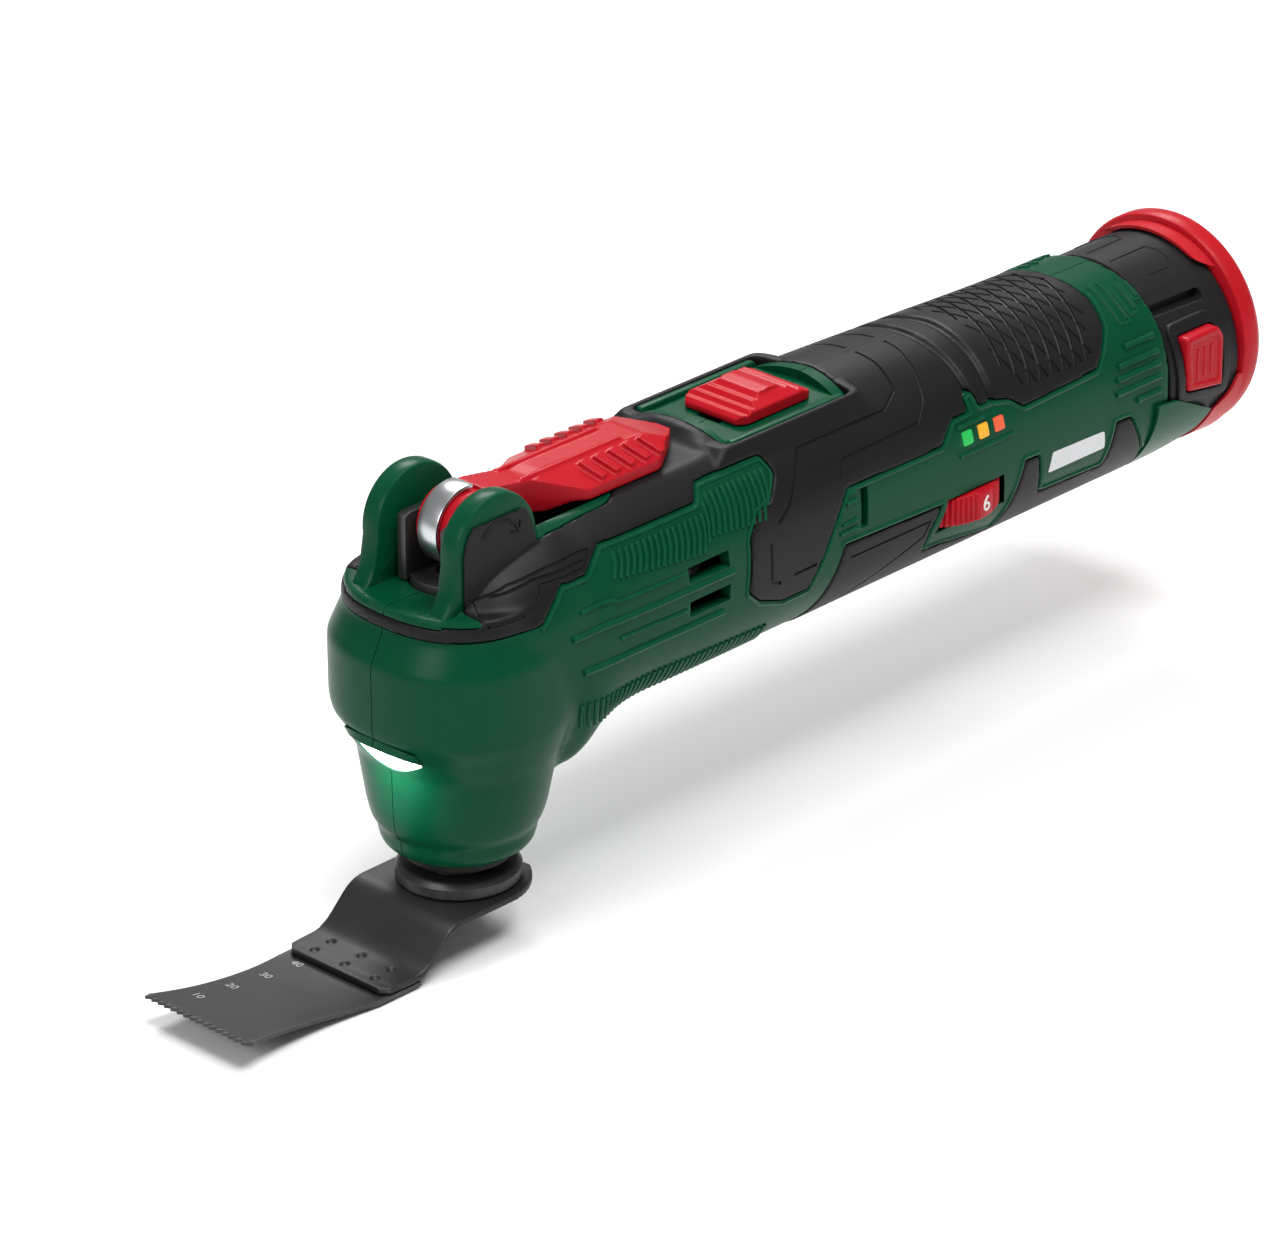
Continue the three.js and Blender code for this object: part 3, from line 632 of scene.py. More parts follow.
def brush_group():
    """Fine lines left by grinding, long in Y unless turned."""
    tree, given, place = shader_group("grinding_lines", [("Across", 5200.0), ("Along", 90.0), ("Up", 5200.0)],
                                      ["Height", "Streak"])
    stretch = put(tree, "ShaderNodeCombineXYZ",
                  {0: given["Across"], 1: given["Along"], 2: given["Up"]}).outputs[0]
    spot = put(tree, "ShaderNodeVectorMath", {0: place, 1: stretch}, operation="MULTIPLY").outputs[0]
    lines = put(tree, "ShaderNodeTexNoise", {"Vector": spot, "Scale": 1.0, "Detail": 2.0}).outputs["Fac"]
    slow = put(tree, "ShaderNodeTexNoise", {"Vector": place, "Scale": 60.0, "Detail": 4.0}).outputs["Fac"]
    put(tree, "NodeGroupOutput", {"Height": lines, "Streak": slow})
    return tree


GROUPS = {"mould_grain": grain_group, "edge_scuff_and_highlight": scuff_highlight_group, "grinding_lines": brush_group}


def group_node(tree, name, **values):
    if name not in bpy.data.node_groups:
        GROUPS[name]()
    node = put(tree, "ShaderNodeGroup", node_tree=bpy.data.node_groups[name])
    for label, value in values.items():
        node.inputs[label.replace("_", " ")].default_value = value
    return node


def finish_of(name, colour, rough, metallic=0.0, texture="mould_grain", scales=None, depth=0.02,
              scuff_and_highlight=0.4, scuffed_highlight_colour=None, mottle=0.10, shine=0.2):
    """A finish: mottled colour, sharply convex edges lightened as rubbed wear and painted highlight, and fine
    grain or grinding lines in the surface.
    """
    material = bpy.data.materials.new(name)
    material.use_nodes = True
    tree = material.node_tree
    shader = tree.nodes["Principled BSDF"]
    grain = group_node(tree, texture, **(scales or {}))
    scuff_highlight_mask = group_node(tree, "edge_scuff_and_highlight", Amount=scuff_and_highlight)
    slow = grain.outputs[1]
    dark = tuple(c * (1 - mottle) for c in colour[:3]) + (1,)
    light = tuple(min(1, c * (1 + mottle)) for c in colour[:3]) + (1,)
    body = put(tree, "ShaderNodeMix", {0: slow, 6: dark, 7: light}, data_type="RGBA").outputs[2]
    # painted highlight: sharply convex edges take a lighter copy of the colour, which also stands for rubbed
    # wear
    scuffed_highlight_colour = scuffed_highlight_colour or tuple(min(1, c * 1.9 + 0.02) for c in colour[:3])
    paint = put(tree, "ShaderNodeMix", {0: scuff_highlight_mask.outputs["Mask"], 6: body, 7: tuple(scuffed_highlight_colour[:3]) + (1,)},
                data_type="RGBA").outputs[2]
    tree.links.new(paint, shader.inputs["Base Color"])
    gloss = put(tree, "ShaderNodeMapRange", {"Value": slow, "From Min": 0.3, "From Max": 0.7,
                                             "To Min": rough[0], "To Max": rough[1]}).outputs[0]
    tree.links.new(gloss, shader.inputs["Roughness"])
    shader.inputs["Metallic"].default_value = metallic
    shader.inputs["Specular IOR Level"].default_value = shine
    bump = put(tree, "ShaderNodeBump", {"Height": grain.outputs["Height"], "Strength": 0.35,
                                        "Distance": depth * MM})
    tree.links.new(bump.outputs[0], shader.inputs["Normal"])
    return material


def made(name):
    """The finish of that name, made when it is first needed."""
    if name in kept:
        return kept[name]
    c = bpy.context.scene.multi_tool_colours
    # the lighter edge colours given below are painted highlight as well as rubbed wear
    makers = {
        "green": lambda: finish_of("moulded green plastic", c.shell, (0.27, 0.36), depth=0.012, scuff_and_highlight=0.35,
                                   shine=0.1,
                                   scuffed_highlight_colour=(0.03, 0.17, 0.09), mottle=0.07),
        "soft": lambda: finish_of("soft black overmould", c.overmould, (0.42, 0.52), depth=0.05, scuff_and_highlight=0.35,
                                  shine=0.16,
                                  scales={"Fine_scale": 2100.0}, mottle=0.16),
        "black": lambda: finish_of("moulded black plastic", c.battery, (0.40, 0.50), depth=0.06, scuff_and_highlight=0.3,
                                   shine=0.16,
                                   scales={"Fine_scale": 2100.0}, mottle=0.14),
        "red": lambda: finish_of("moulded red plastic", c.controls, (0.30, 0.40), depth=0.02, scuff_and_highlight=0.3,
                                 shine=0.12,
                                 scuffed_highlight_colour=(0.66, 0.09, 0.08), mottle=0.06),
        "bright": lambda: finish_of("ground steel", (0.62, 0.63, 0.65), (0.2, 0.34), 1.0, "grinding_lines",
                                    depth=0.01,
                                    scales={"Across": 240.0, "Along": 4200.0, "Up": 240.0}, mottle=0.12),
        "dark steel": lambda: finish_of("blackened steel", (0.045, 0.045, 0.047), (0.34, 0.48), 0.7,
                                        "mould_grain",
                                        depth=0.03, scuffed_highlight_colour=(0.5, 0.5, 0.5), scuff_and_highlight=0.5, mottle=0.2),
        "blade": lambda: finish_of("dark coated spring steel", (0.030, 0.030, 0.031), (0.36, 0.5), 0.45,
                                   depth=0.03, scuffed_highlight_colour=(0.22, 0.22, 0.22), scuff_and_highlight=0.35, mottle=0.25),
        "alloy": lambda: finish_of("die cast alloy", (0.42, 0.43, 0.45), (0.45, 0.6), 0.9, depth=0.06,
                                   mottle=0.12),
        "copper": lambda: finish_of("wound copper", (0.45, 0.17, 0.06), (0.3, 0.42), 0.95, "grinding_lines",
                                    depth=0.1,
                                    scales={"Across": 60.0, "Along": 2600.0, "Up": 2600.0}, mottle=0.2),
        "board": lambda: finish_of("circuit board", (0.015, 0.12, 0.045), (0.35, 0.5), depth=0.02,
                                   mottle=0.25),
        "cell": lambda: finish_of("cell wrap", (0.03, 0.12, 0.36), (0.25, 0.36), depth=0.01, mottle=0.05),
        "print": lambda: finish_of("white print", (0.78, 0.78, 0.76), (0.4, 0.5), depth=0.005, scuff_and_highlight=0.0,
                                   mottle=0.03),
        "etched": lambda: finish_of("etched marks", (0.30, 0.30, 0.30), (0.5, 0.6), 0.5, depth=0.01,
                                    scuff_and_highlight=0.0),
        "badge": lambda: finish_of("blank silver badge", (0.60, 0.61, 0.62), (0.28, 0.36), 0.35, depth=0.006,
                                   mottle=0.04),
        "window_green": lambda: glowing("green charge window", (0.02, 0.42, 0.08), 0.25),
        "window_amber": lambda: glowing("amber charge window", (0.75, 0.35, 0.03), 0.3),
        "window_red": lambda: glowing("red charge window", (0.65, 0.10, 0.04), 0.3),
        "lamp": lambda: glowing("lit lamp lens", (0.93, 0.97, 1.0), 7.0),
    }
    kept[name] = makers[name]()
    return kept[name]


def glowing(name, colour, strength):
    material = finish_of(name, colour, (0.12, 0.2), depth=0.004, scuff_and_highlight=0.0, mottle=0.04)
    tree = material.node_tree
    shader = tree.nodes["Principled BSDF"]
    grain = group_node(tree, "mould_grain", Slow_scale=160.0)
    dim = tuple(0.75 * c for c in colour) + (1,)
    glow = put(tree, "ShaderNodeMix", {0: grain.outputs["Mottle"], 6: dim, 7: tuple(colour) + (1,)},
               data_type="RGBA")
    tree.links.new(glow.outputs[2], shader.inputs["Emission Color"])
    shader.inputs["Emission Strength"].default_value = strength
    return material


def painted(piece, *names):
    piece.data.materials.clear()
    for name in names:
        piece.data.materials.append(made(name))
    return piece


def moved(piece, matrix):
    piece.data.transform(matrix)
    if matrix.determinant() < 0:
        piece.data.flip_normals()
    return piece


def mirrored(piece):
    return moved(copy_of(piece), Matrix.Scale(-1, 4, (0, 1, 0)))


def shift(x, y, z):
    return Matrix.Translation((x * MM, y * MM, z * MM))


def placed(piece, name, body, slot, nodes, angle=32):
    """Hands a finished piece over: its name, its body and the nodes that it stands for. The slot argument is
    not used.
    """
    piece.name = name
    piece.data.name = name
    smooth(piece, angle)
    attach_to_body(piece, body)
    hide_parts(*nodes)
    return piece


# ---- housing -----------------------------------------------------------------------------
def scoop_outline(margin=0.0):
    arc = [(30 + (8 + margin) * math.sin(a), -4 - (8 + margin) * math.cos(a))
           for a in np.linspace(0, math.pi / 2, 9)]
    rest = [(x, -y) for x, y in reversed(arc)]
    return [(11.0, -12 - margin)] + arc + rest + [(11.0, 12 + margin)]


def green_zones(margin):
    """Where the green shell shows inside the upper overmould: ears, finger scoop, switch frame."""
    ears, edge = EAR["outer"] + margin, TRAY["half"] + 1.7 + margin
    x0, x1 = TRAY["x0"] - 1.7 - margin, TRAY["x1"] + 2.7 + margin
    frame_plan = softened([(x0, -edge), (x1, -edge), (x1 + 2.5, 0), (x1, edge), (x0, edge)], 2.5)
    return [
        block(-60, 13.5 + margin, -ears, ears, 74.8 - margin, 120),
        block(-60, -12 + margin, -40, 40, 75.4 - margin, 120),
        prism("zone", scoop_outline(2.4 + margin), 60, 120, "z"),
        prism("zone", frame_plan, 60, 120, "z"),
    ]


def ear_outline(inset=0.0):
    x, z, r = EAR["x"], EAR["z"], EAR["r"] - inset
    arc = [(x - r * math.cos(a), z + r * math.sin(a)) for a in np.linspace(-0.12, math.pi * 0.96, 30)]
    front = [(-18.3, 74.2), (-17.2, 76.2), (-15.6, 78.2), (-14.4, 80.8)]
    rear = [(12.4, 86), (13.3, 84), (13.4, 74.2)]
    return [(u + inset, v) for u, v in front] + arc + [(u - inset, v) for u, v in rear]


def side_ribs(side):
    """Raised ribs, ledges and outlines of the green shell on one side."""
    fine, bold = [], []
    for k in range(28):
        x = 26.6 + 1.82 * k
        top = np.interp(x, [23.5, 53.8, 56.9, 77.7], [82.5, 82.3, 85.4, 85.2]) - 1.9
        length = (5.2 + 4.6 * k / 27) * (0.7 if x > 74 else 1)
        fine.append(drawn([(x, top), (x - 0.7, top - length * 0.5), (x - 2.2, top - length)], side, 0.9))
    for k in range(34):
        x = 13.5 + 1.86 * k
        z = np.interp(x, [12.4, 39.7, 75.1], [49.4, 48.4, 46.3])
        fine.append(drawn([(x, z), (x + 0.6, z - 3.6), (x + 1.6, z - 6.6)], side, 0.9))
    bold.append(drawn([(9.6, 66.6), (24, 66.4), (60.2, 66.0)], side))
    bold.append(drawn([(12.8, 57.7), (24, 57.5), (57, 57.0)], side))
    fine.append(drawn([(13, 71.6), (23, 71.4), (24, 70.6), (45, 70.3)], side))
    fine.append(drawn([(24, 62.2), (45, 61.6)], side))
    for z in (71.2, 69.2, 64.6, 62.6):
        fine.append(drawn([(98.4 + (71.2 - z) * -0.35, z), (101.2, z)], side))
    for k, z in enumerate((74.9, 71.4, 68.6, 65.4, 61.9)):
        bold.append(drawn([((197.4, 193.6, 192.4, 191.8, 199.0)[k], z), (207.6, z)], side))
    for x0, x1, a0, a1 in ((199.5, 202.5, 20, 47), (203.6, 206.6, 26, 44), (207.4, 209.6, 26, 38)):
        corners = [(x0, a0), (x0, a1), (x1, a1), (x1, a0)]
        fine.append(drawn(corners, side, 1.5, find=on_round))
    fine.append(drawn([(136.5, 67.9), (155.6, 67.9)], side))
    fine.append(drawn([(137.0, 74.2), (146.6, 74.2)], side))
    for outline in (UPPER, LOWER):
        edge = [p for p in softened(shrunk(outline, -0.62), CORNER) if -9 < p[0] < 205 and 38 < p[1] < 85.6]
        runs = [[]]
        for a, b in zip(edge, edge[1:] + edge[:1]):
            runs[-1].append(a)
            if math.dist(a, b) > 45:
                runs.append([])
        fine += [drawn(run, side, 1.5, lift=-0.12) for run in runs if len(run) > 4]
    return fine, bold


def make_housing():
    sizes = bpy.context.scene.multi_tool_sizes
    form = copy_of(outer_body(), "housing")
    cavity = core(WALL, 14.2, HANDLE_END + 2, 15.2, 73.8)
    carve(cavity, [block(11, 42, -15, 15, 78.4, 90), block(68, 116, -16, 16, 84.4, 89)])
    carve(form, [cavity, prism("bore", circle(12.8), 8, 18, "z"), prism("bore", circle(10), 60, 90, "z")])
    for outline in (UPPER, LOWER):
        recess = prism("recess", softened(outline, CORNER), -FAR, FAR)
        carve(recess, [core(RECESS_DEPTH, -11, HANDLE_END - 1)])
        if outline is UPPER:
            carve(recess, green_zones(0))
        carve(form, [recess])
    scoop = prism("scoop", scoop_outline(), 81.6, 120, "z")
    tray = prism("tray", softened([(TRAY["x0"], -13), (TRAY["x1"], -13), (TRAY["x1"] + 2, 0),
                                   (TRAY["x1"], 13),
                                   (TRAY["x0"], 13)], 1.6), TRAY["floor"], 120, "z", 0.0)
    carve(form, [block(-40, 14, -9.2, 9.2, SHELF_Z, 120), scoop, tray, block(80, 99.5, -3.5, 3.5, 80, 92)])
    carve(form, [block(46, 59, -40, 40, 59.4, 63.2), block(46, 59, -40, 40, 67.4, 71.2),
                 prism("slot", softened([(102.2, 61.8), (104.6, 61.6), (105.2, 71.3), (102.8, 71.5)], 0.5),
                       -40, 40),
                 prism("lamp", lamp_outline(0), -40, -14.3, "x")])
    ears = []
    for side in (-1, 1):
        y0, y1 = sorted((side * EAR["inner"], side * EAR["outer"]))
        ears.append(prism("ear", ear_outline(), y0, y1, "y", 1.1))
        rim = sorted((side * 12.7, side * 14.7))
        rim_outline = softened([(71.2, 84), (72.2, 89.2), (109.4, 89.0), (111, 84)], 1.0)
        ears.append(prism("rim", rim_outline, *rim, "y", 0.5))
    visor = loft("visor", [[(x - stand * taper(y, 11.4), y, z - 1.2 * (y / 12) ** 2)
                            for x, y, z in front_arc(z, 11.3, 4)]
                           for z, stand in ((43.3, 0.2), (43.6, 1.2), (44.6, 1.7), (46.4, 0.1))])
    carve(form, ears + [visor], "UNION")
    wedge = prism("wedge", softened([(206, 58.4), (213, 57.6), (228, 50.2), (225.5, 45.0), (214, 40.5),
                                     (206, 40)], 1.0),
                  -FAR, FAR)
    sleeve = turned("sleeve", [(25.7, 205), (25.7, 229), (26.6, 229), (26.6, 205), (25.7, 205)], None, 96,
                    "x", (0, 0, PACK_Z))
    carve(sleeve, [wedge], "INTERSECT")
    carve(form, [sleeve], "UNION")
    halves = {}
    for side, word in SIDES:
        half = copy_of(form, word)
        carve(half, [half_space(side, 0.13)], "INTERSECT")
        if side < 0:
            reach = DIAL["t"] / 2 + 0.6
            pocket = prism("pocket", circle(DIAL["r"] + 1.2, DIAL["x"], DIAL["y"]), DIAL["z"] - reach,
                           DIAL["z"] + reach, "z")
            windows = [block(x - 1.8, x + 1.8, -40, -15, 69.7, 73.1) for x in WINDOWS_X]
            carve(half, [pocket] + windows)
        else:
            for x, z in SCREWS:
                boss = prism("boss", circle(5.4, x, z), 18, 24)
                carve(boss, [outer_body()], "INTERSECT", keep=True)
                carve(half, [boss], "UNION")
                carve(half, [prism("hole", circle(3.5, x, z), 20.1, 40),
                             prism("hole", circle(1.9, x, z), 5, 21)])
        halves[word] = half
    discard(form)
    for side, word in SIDES:
        half = painted(halves[word], "green", "badge")
        fine, bold = side_ribs(side)
        attach(half, beads("ribs", fine, sizes.rib_radius / MM, made("green"), 6),
               beads("ledges", bold, sizes.ledge_radius / MM, made("green"), 8))
        if side < 0:
            badge = prism("badge", softened([(169.0, 58.4), (187.6, 57.7), (188.6, 52.9), (168.3, 53.2)],
                                            0.8), -27.5, -21)
            skin = grown(outer_body(), 0.16)
            carve(badge, [skin], "INTERSECT")
            attach(half, badge, slot=1)
        placed(half, f"moulded_housing_{word}", "housing", "green_shell", [f"housing_{word}"])


def circle(radius, u=0.0, v=0.0, parts=48):
    return [(u + radius * math.cos(2 * math.pi * k / parts), v + radius * math.sin(2 * math.pi * k / parts))
            for k in range(parts)]


def taper(y, half):
    """Full in the middle, nothing at the ends."""
    return max(0.0, 1 - (abs(y) / half) ** 3)


def lamp_outline(inset):
    """The lamp's opening from the front: straight under the visor, bowed below."""
    ys = np.linspace(10.4 - inset, -10.4 + inset, 19)
    top = [(y, 43.3 - 1.2 * (y / 12) ** 2 - inset) for y in ys]
    low = [(y, 41.6 - 4.0 * math.cos(y / 10.6 * math.pi / 2) + inset) for y in ys[::-1]]
    return top + low


def front_arc(z, half, depth, parts=24):
    """The front of the head's outline at a height, closed behind at the given depth."""
    ring = [p for p in head_ring(z, 0, 240) if p[0] < 0 and abs(p[1]) <= half]
    ring.sort(key=lambda p: p[1])
    picks = [ring[round(k * (len(ring) - 1) / (parts - 1))] for k in range(parts)]
    back = [(x + depth, y * 0.96, z) for x, y, z in reversed(picks)]
    return picks + back


# ---- soft overmoulds ---------------------------------------------------------------------
def tread_lines():
    """The two crossing families of lines of the grip's tread, over the top from side to side."""
    families = []
    for lean in (0.17, -0.17):
        lines = []
        for k in range(24):
            start = 136.0 + 4.1 * k
            run = []
            for angle in np.arange(-56, 56.1, 2.0):
                x = start + lean * angle
                front = np.interp(abs(angle), [0, 20, 40, 48, 56], [159.5, 158.6, 157.0, 157.6, 162.5])
                rear = np.interp(abs(angle), [0, 20, 36, 46, 56], [193.6, 192.6, 190.8, 187.6, 186.4])
                if front <= x <= rear:
                    run.append((x, angle))
                elif run:
                    if len(run) > 2:
                        lines.append(run)
                    run = []
            if len(run) > 2:
                lines.append(run)
        families.append([[lifted(x, a) for x, a in run] for run in lines])
    return families


def lifted(x, angle, lift=PROUD):
    """A point over the body, at an angle from the top that is negative on the left."""
    point, normal = on_round(x, abs(angle), -1 if angle < 0 else 1)
    return tuple(point + normal * lift)


def panel_lines(side):
    """Fine parting outlines engraved in the upper overmould."""
    lines = [
        ([(75.5, 67), (79.5, 62), (88.4, 40), (117.8, 39.8), (124.4, 33), (127, 16), (127.2, 3)], on_round),
        ([(97.4, 60), (99.8, 52), (125.8, 51), (130.5, 42), (134.2, 26), (136.4, 12), (137, 3)], on_round),
        ([(-9.4, 78.7), (-2.1, 80.9), (8.6, 82.1), (20.9, 82.3), (17.5, 79.4), (4.7, 79.6), (1.9, 77.6)],
         on_side),
        ([(-6.5, 79.3), (3.7, 80.8), (18.5, 80.7)], on_side),
        ([(-9.4, 78.7), (-10.6, 76.6), (-10.8, 75.0), (-2.1, 75.4)], on_side),
        ([(72.2, 68.3), (72.4, 59.0), (75.6, 57.6)], on_side),
        ([(80, 58.2), (87.5, 58.2)], on_side),
    ]
    return [drawn(corners, side, 1.3, lift=PROUD, find=find) for corners, find in lines]


def make_overmoulds():
    sizes = bpy.context.scene.multi_tool_sizes
    skin = grown(outer_body(), PROUD)
    upper = copy_of(skin, "upper")
    pedestal = loft("pedestal", [[(x, y, z) for x, y in softened([(a, -w), (b, -w), (c, 0), (b, w), (a, w)], 3)]
                                 for z, a, b, c, w in ((82, 61.5, 118, 123, 19.5),
                                                       (86.4, 63.5, 115.2, 119.6, 17.6),
                                                       (89.3, 67.8, 113.2, 117.8, 16.3))])
    carve(upper, [pedestal], "UNION")
    for side in (-1, 1):
        y0, y1 = sorted((side * 13.5, side * 15.5))
        face = [(u, v) for u, v in ear_outline(1.7) if v > 79.5]
        face += [(15.5, 84), (15.5, 78), (-10.5, 77.0), (-12.2, 79)]
        carve(upper, [prism("face", face, y0, y1, "y", 0.0)], "UNION")
    carve(upper, [prism("tool", shrunk(softened(UPPER, CORNER), GAP), -FAR, FAR)], "INTERSECT")
    carve(upper, [core(GRIP_DEPTH)] + green_zones(GAP))
    rings = []
    for x_side, x_top in ((144, 144.6), (150.4, 153.4)):
        ring = []
        for angle in np.arange(-66, 66.1, 3.0):
            x = x_top + (x_side - x_top) * min(1, abs(angle) / 48)
            ring.append(lifted(x, angle, 0.75))
        rings.append(ring)
    carve(upper, [beads("ring", [ring], 1.35, None, 10) for ring in rings])
    lower = copy_of(skin, "lower")
    carve(lower, [prism("tool", shrunk(softened(LOWER, CORNER), GAP), -FAR, FAR)], "INTERSECT")
    carve(lower, [core(GRIP_DEPTH)])
    discard(skin)
    melt(upper, 0.5, 3, limit=300000)
    for family in tread_lines():
        carve(upper, [beads("tread", family, sizes.tread_radius / MM, None, 6)])
    for side, word in SIDES:
        half = carve(copy_of(upper, word), [half_space(side, 0.03)], "INTERSECT")
        carve(half, [beads("outline", [line], sizes.outline_radius / MM, None, 6)
                     for line in panel_lines(side)])
        painted(half, "soft")
        arrow = [(-1 + 6.2 * math.cos(a), side * 15.6, 88.6 + 6.2 * math.sin(a))
                 for a in np.linspace(0.35, 2.5, 20)]
        tip = arrow[0]
        barb = [(tip[0] - 2.2, tip[1], tip[2] + 0.4), tip, (tip[0] + 0.5, tip[1], tip[2] + 2.3)]
        attach(half, beads("arrow", [arrow, barb], 0.3, made("soft"), 8))
        placed(half, f"overmould_upper_{word}", "housing", "soft_grip", [f"grip_upper_{word}"])
        half = carve(copy_of(lower, word), [half_space(side, 0.03)], "INTERSECT")
        melt(half, 0.5, 3)
        line = drawn([(99.4, 55.6), (126.6, 55.3), (125.0, 51.6), (103, 42.6)], side, lift=PROUD)
        carve(half, [beads("outline", [line], 0.34, None, 6)])
        painted(half, "soft")
        placed(half, f"overmould_lower_{word}", "housing", "soft_grip", [f"grip_lower_{word}"])
    discard(upper)
    discard(lower)


# ---- clamp lever and its parts -----------------------------------------------------------
ARM = [(1, 97.2), (7, 96.6), (20, 94.4), (24, 94.9), (54, 94.6), (66.2, 90.8), (66.4, 89.6), (56, 88.6),
       (27, 88.8), (22, 86.8), (10, 86.6), (4, 84)]
PADDLE = [(6, -4.6), (19, -4.6), (29.5, -12.4), (52, -12.4), (61, -6.4), (66.4, -1.6), (66.4, 1.6), (61, 6.4),
          (52, 12.4), (29.5, 12.4), (19, 4.6), (6, 4.6)]


def flank_place(x, y=4.4, z=94.8):
    return shift(x, y, z) @ Matrix.Rotation(math.radians(-24), 4, "X")


def make_lever():
    lever = prism("lever", softened(ARM, 1.2), -13, 13)
    carve(lever, [prism("plan", softened(PADDLE, 1.0), 70, 110, "z")], "INTERSECT")
    cam = prism("cam", circle(8, *PIVOT), -4.8, 4.8, "y", 0.5)
    carve(lever, [cam], "UNION")
    cutter = moved(block(-20, 90, 0, 20, 0, 20), flank_place(0))
    carve(lever, [mirrored(cutter), cutter])
    rib = moved(block(-1.1, 1.1, 1.6, 8.0, -1.0, 1.15),
                flank_place(33.0) @ Matrix.Rotation(math.radians(-16), 4, "Z"))
    row = grow(rib, "row", count=5, step=(4.6 * MM, 0, 0), material=made("red"))
    ridge = moved(block(17, 48, -0.6, 0.6, -1, 0.75), shift(0, 3.6, 94.6))
    carve(lever, [mirrored(row)], "UNION")
    carve(lever, [row], "UNION")
    carve(lever, [mirrored(ridge)], "UNION")
    carve(lever, [ridge], "UNION")
    carve(lever, [prism("pin", circle(2.3, *PIVOT), -20, 20)])
    melt(lever, 0.3, 2, limit=150000)
    painted(lever, "red")
    placed(lever, "moulded_clamp_lever", "clamp_lever", "red_lever", ["clamp_lever"])

    outer = [(PIVOT[0] + 9.35 * math.cos(a), PIVOT[1] + 9.35 * math.sin(a))
             for a in np.linspace(0.42 * math.pi, 1.28 * math.pi, 40)]
    inner = [(PIVOT[0] + 8.3 * math.cos(a), PIVOT[1] + 8.3 * math.sin(a))
             for a in np.linspace(1.28 * math.pi, 0.42 * math.pi, 40)]
    band = painted(prism("band", outer + inner, -2.9, 2.9, "y", 0.25), "bright")
    placed(band, "polished_lever_band", "clamp_lever", "bright_steel", ["lever_band"])

    cheek = softened([(-9, 76.9), (-9, 92.0), (-7.4, 92.6), (7, 92.6), (9, 90.6), (9, 76.9)], 0.5)
    plates = [prism("cheek", cheek, 5.3, 7.9, "y", 0.4), prism("cheek", cheek, -7.9, -5.3, "y", 0.4)]
    base = prism("base", circle(9.6, parts=64), 74.4, 78.4, "z", 0.5)
    carve(base, plates, "UNION")
    carve(base, [prism("hole", circle(3.7), 70, 80, "z"), prism("pin", circle(2.3, *PIVOT), -20, 20)])
    placed(painted(base, "dark steel"), "steel_lever_bracket", "housing", "dark_steel", ["lever_bracket"])
    pin = turned("pin", [(0, -8.8), (1.6, -8.8), (2, -8.4), (2, 8.4), (1.6, 8.8), (0, 8.8)], made("bright"),
                 32, "y",
                 (PIVOT[0], 0, PIVOT[1]))
    placed(pin, "turned_lever_pin", "housing", "bright_steel", ["lever_pin"])


# ---- slide switch and speed dial ---------------------------------------------------------
def make_switch():
    top = [(80.9, 88.3), (80.9, 89.6), (82.2, 90.6), (83.4, 90.3), (84.6, 91.4), (85.8, 91.0), (87.2, 92.2),
           (88.6, 91.9), (90.2, 93.0), (93.5, 93.3), (96.4, 93.0), (97.6, 91.9), (98.8, 92.3), (100.0, 91.1),
           (101.2, 91.5), (102.4, 90.4),
           (104.0, 90.2), (105.1, 88.9), (105.1, 88.3)]
    form = prism("slider", softened(top, 0.35, 3), -10, 10)
    plan = softened([(80.5, -7.4), (83, -9.4), (103, -9.4), (105.4, -7.6), (105.4, 7.6), (103, 9.4),
                     (83, 9.4), (80.5, 7.4)], 0.8)
    carve(form, [prism("plan", plan, 80, 100, "z")], "INTERSECT")
    crown = moved(block(70, 115, 0, 20, 0, 20),
                  shift(0, 6.0, 92.6) @ Matrix.Rotation(math.radians(-27), 4, "X"))
    carve(form, [mirrored(crown), crown])
    melt(form, 0.26, 2, limit=90000)
    attach(form, block(88.4, 98, -2.8, 2.8, 80.6, 88.6, 0.3), block(88.6, 116, -2.7, 2.7, 80.5, 82, 0.3))
    painted(form, "red")
    placed(form, "moulded_switch_slider", "power_switch", "red_plastic", ["switch_slider"])


def make_dial():
    d = DIAL
    notches = bpy.context.scene.multi_tool_sizes.dial_notches
    rings = []
    for z, inset in ((-3.5, 0.7), (-3.3, 0.25), (-2.9, 0), (2.9, 0), (3.3, 0.25), (3.5, 0.7)):
        ring = []
        for k in range(720):
            a = math.radians(k * 0.5)
            bearing = math.degrees(a) + 90 - DIGIT_TURN
            from_digit = (bearing + 30) % 60 - 30
            wave = 0.5 - 0.5 * math.cos(math.radians(bearing) * notches)
            groove = 0.0 if abs(from_digit) < 9 else 0.55 * wave ** 1.5
            r = d["r"] - inset - groove
            ring.append((d["x"] + r * math.cos(a), d["y"] + r * math.sin(a), d["z"] + z))
        rings.append(ring)
    dial = loft("dial", rings)
    carve(dial, [prism("hole", circle(2.3, d["x"], d["y"]), 40, 80, "z")])
    painted(dial, "red", "print")
    for k in range(DIGITS):
        digit = lettering(str(DIGITS - k), 5.4, 0.3, made("print"))
        bearing = math.radians(DIGIT_TURN - 360 / DIGITS * k)
        matrix = (shift(d["x"], d["y"], d["z"]) @ Matrix.Rotation(bearing, 4, "Z")
                  @ shift(0, -d["r"] - 0.02, 0) @ Matrix.Rotation(math.pi / 2, 4, "X"))
        attach(dial, moved(digit, matrix), slot=1)
    placed(dial, "knurled_speed_dial", "speed_dial", "red_plastic", ["speed_dial"], 40)


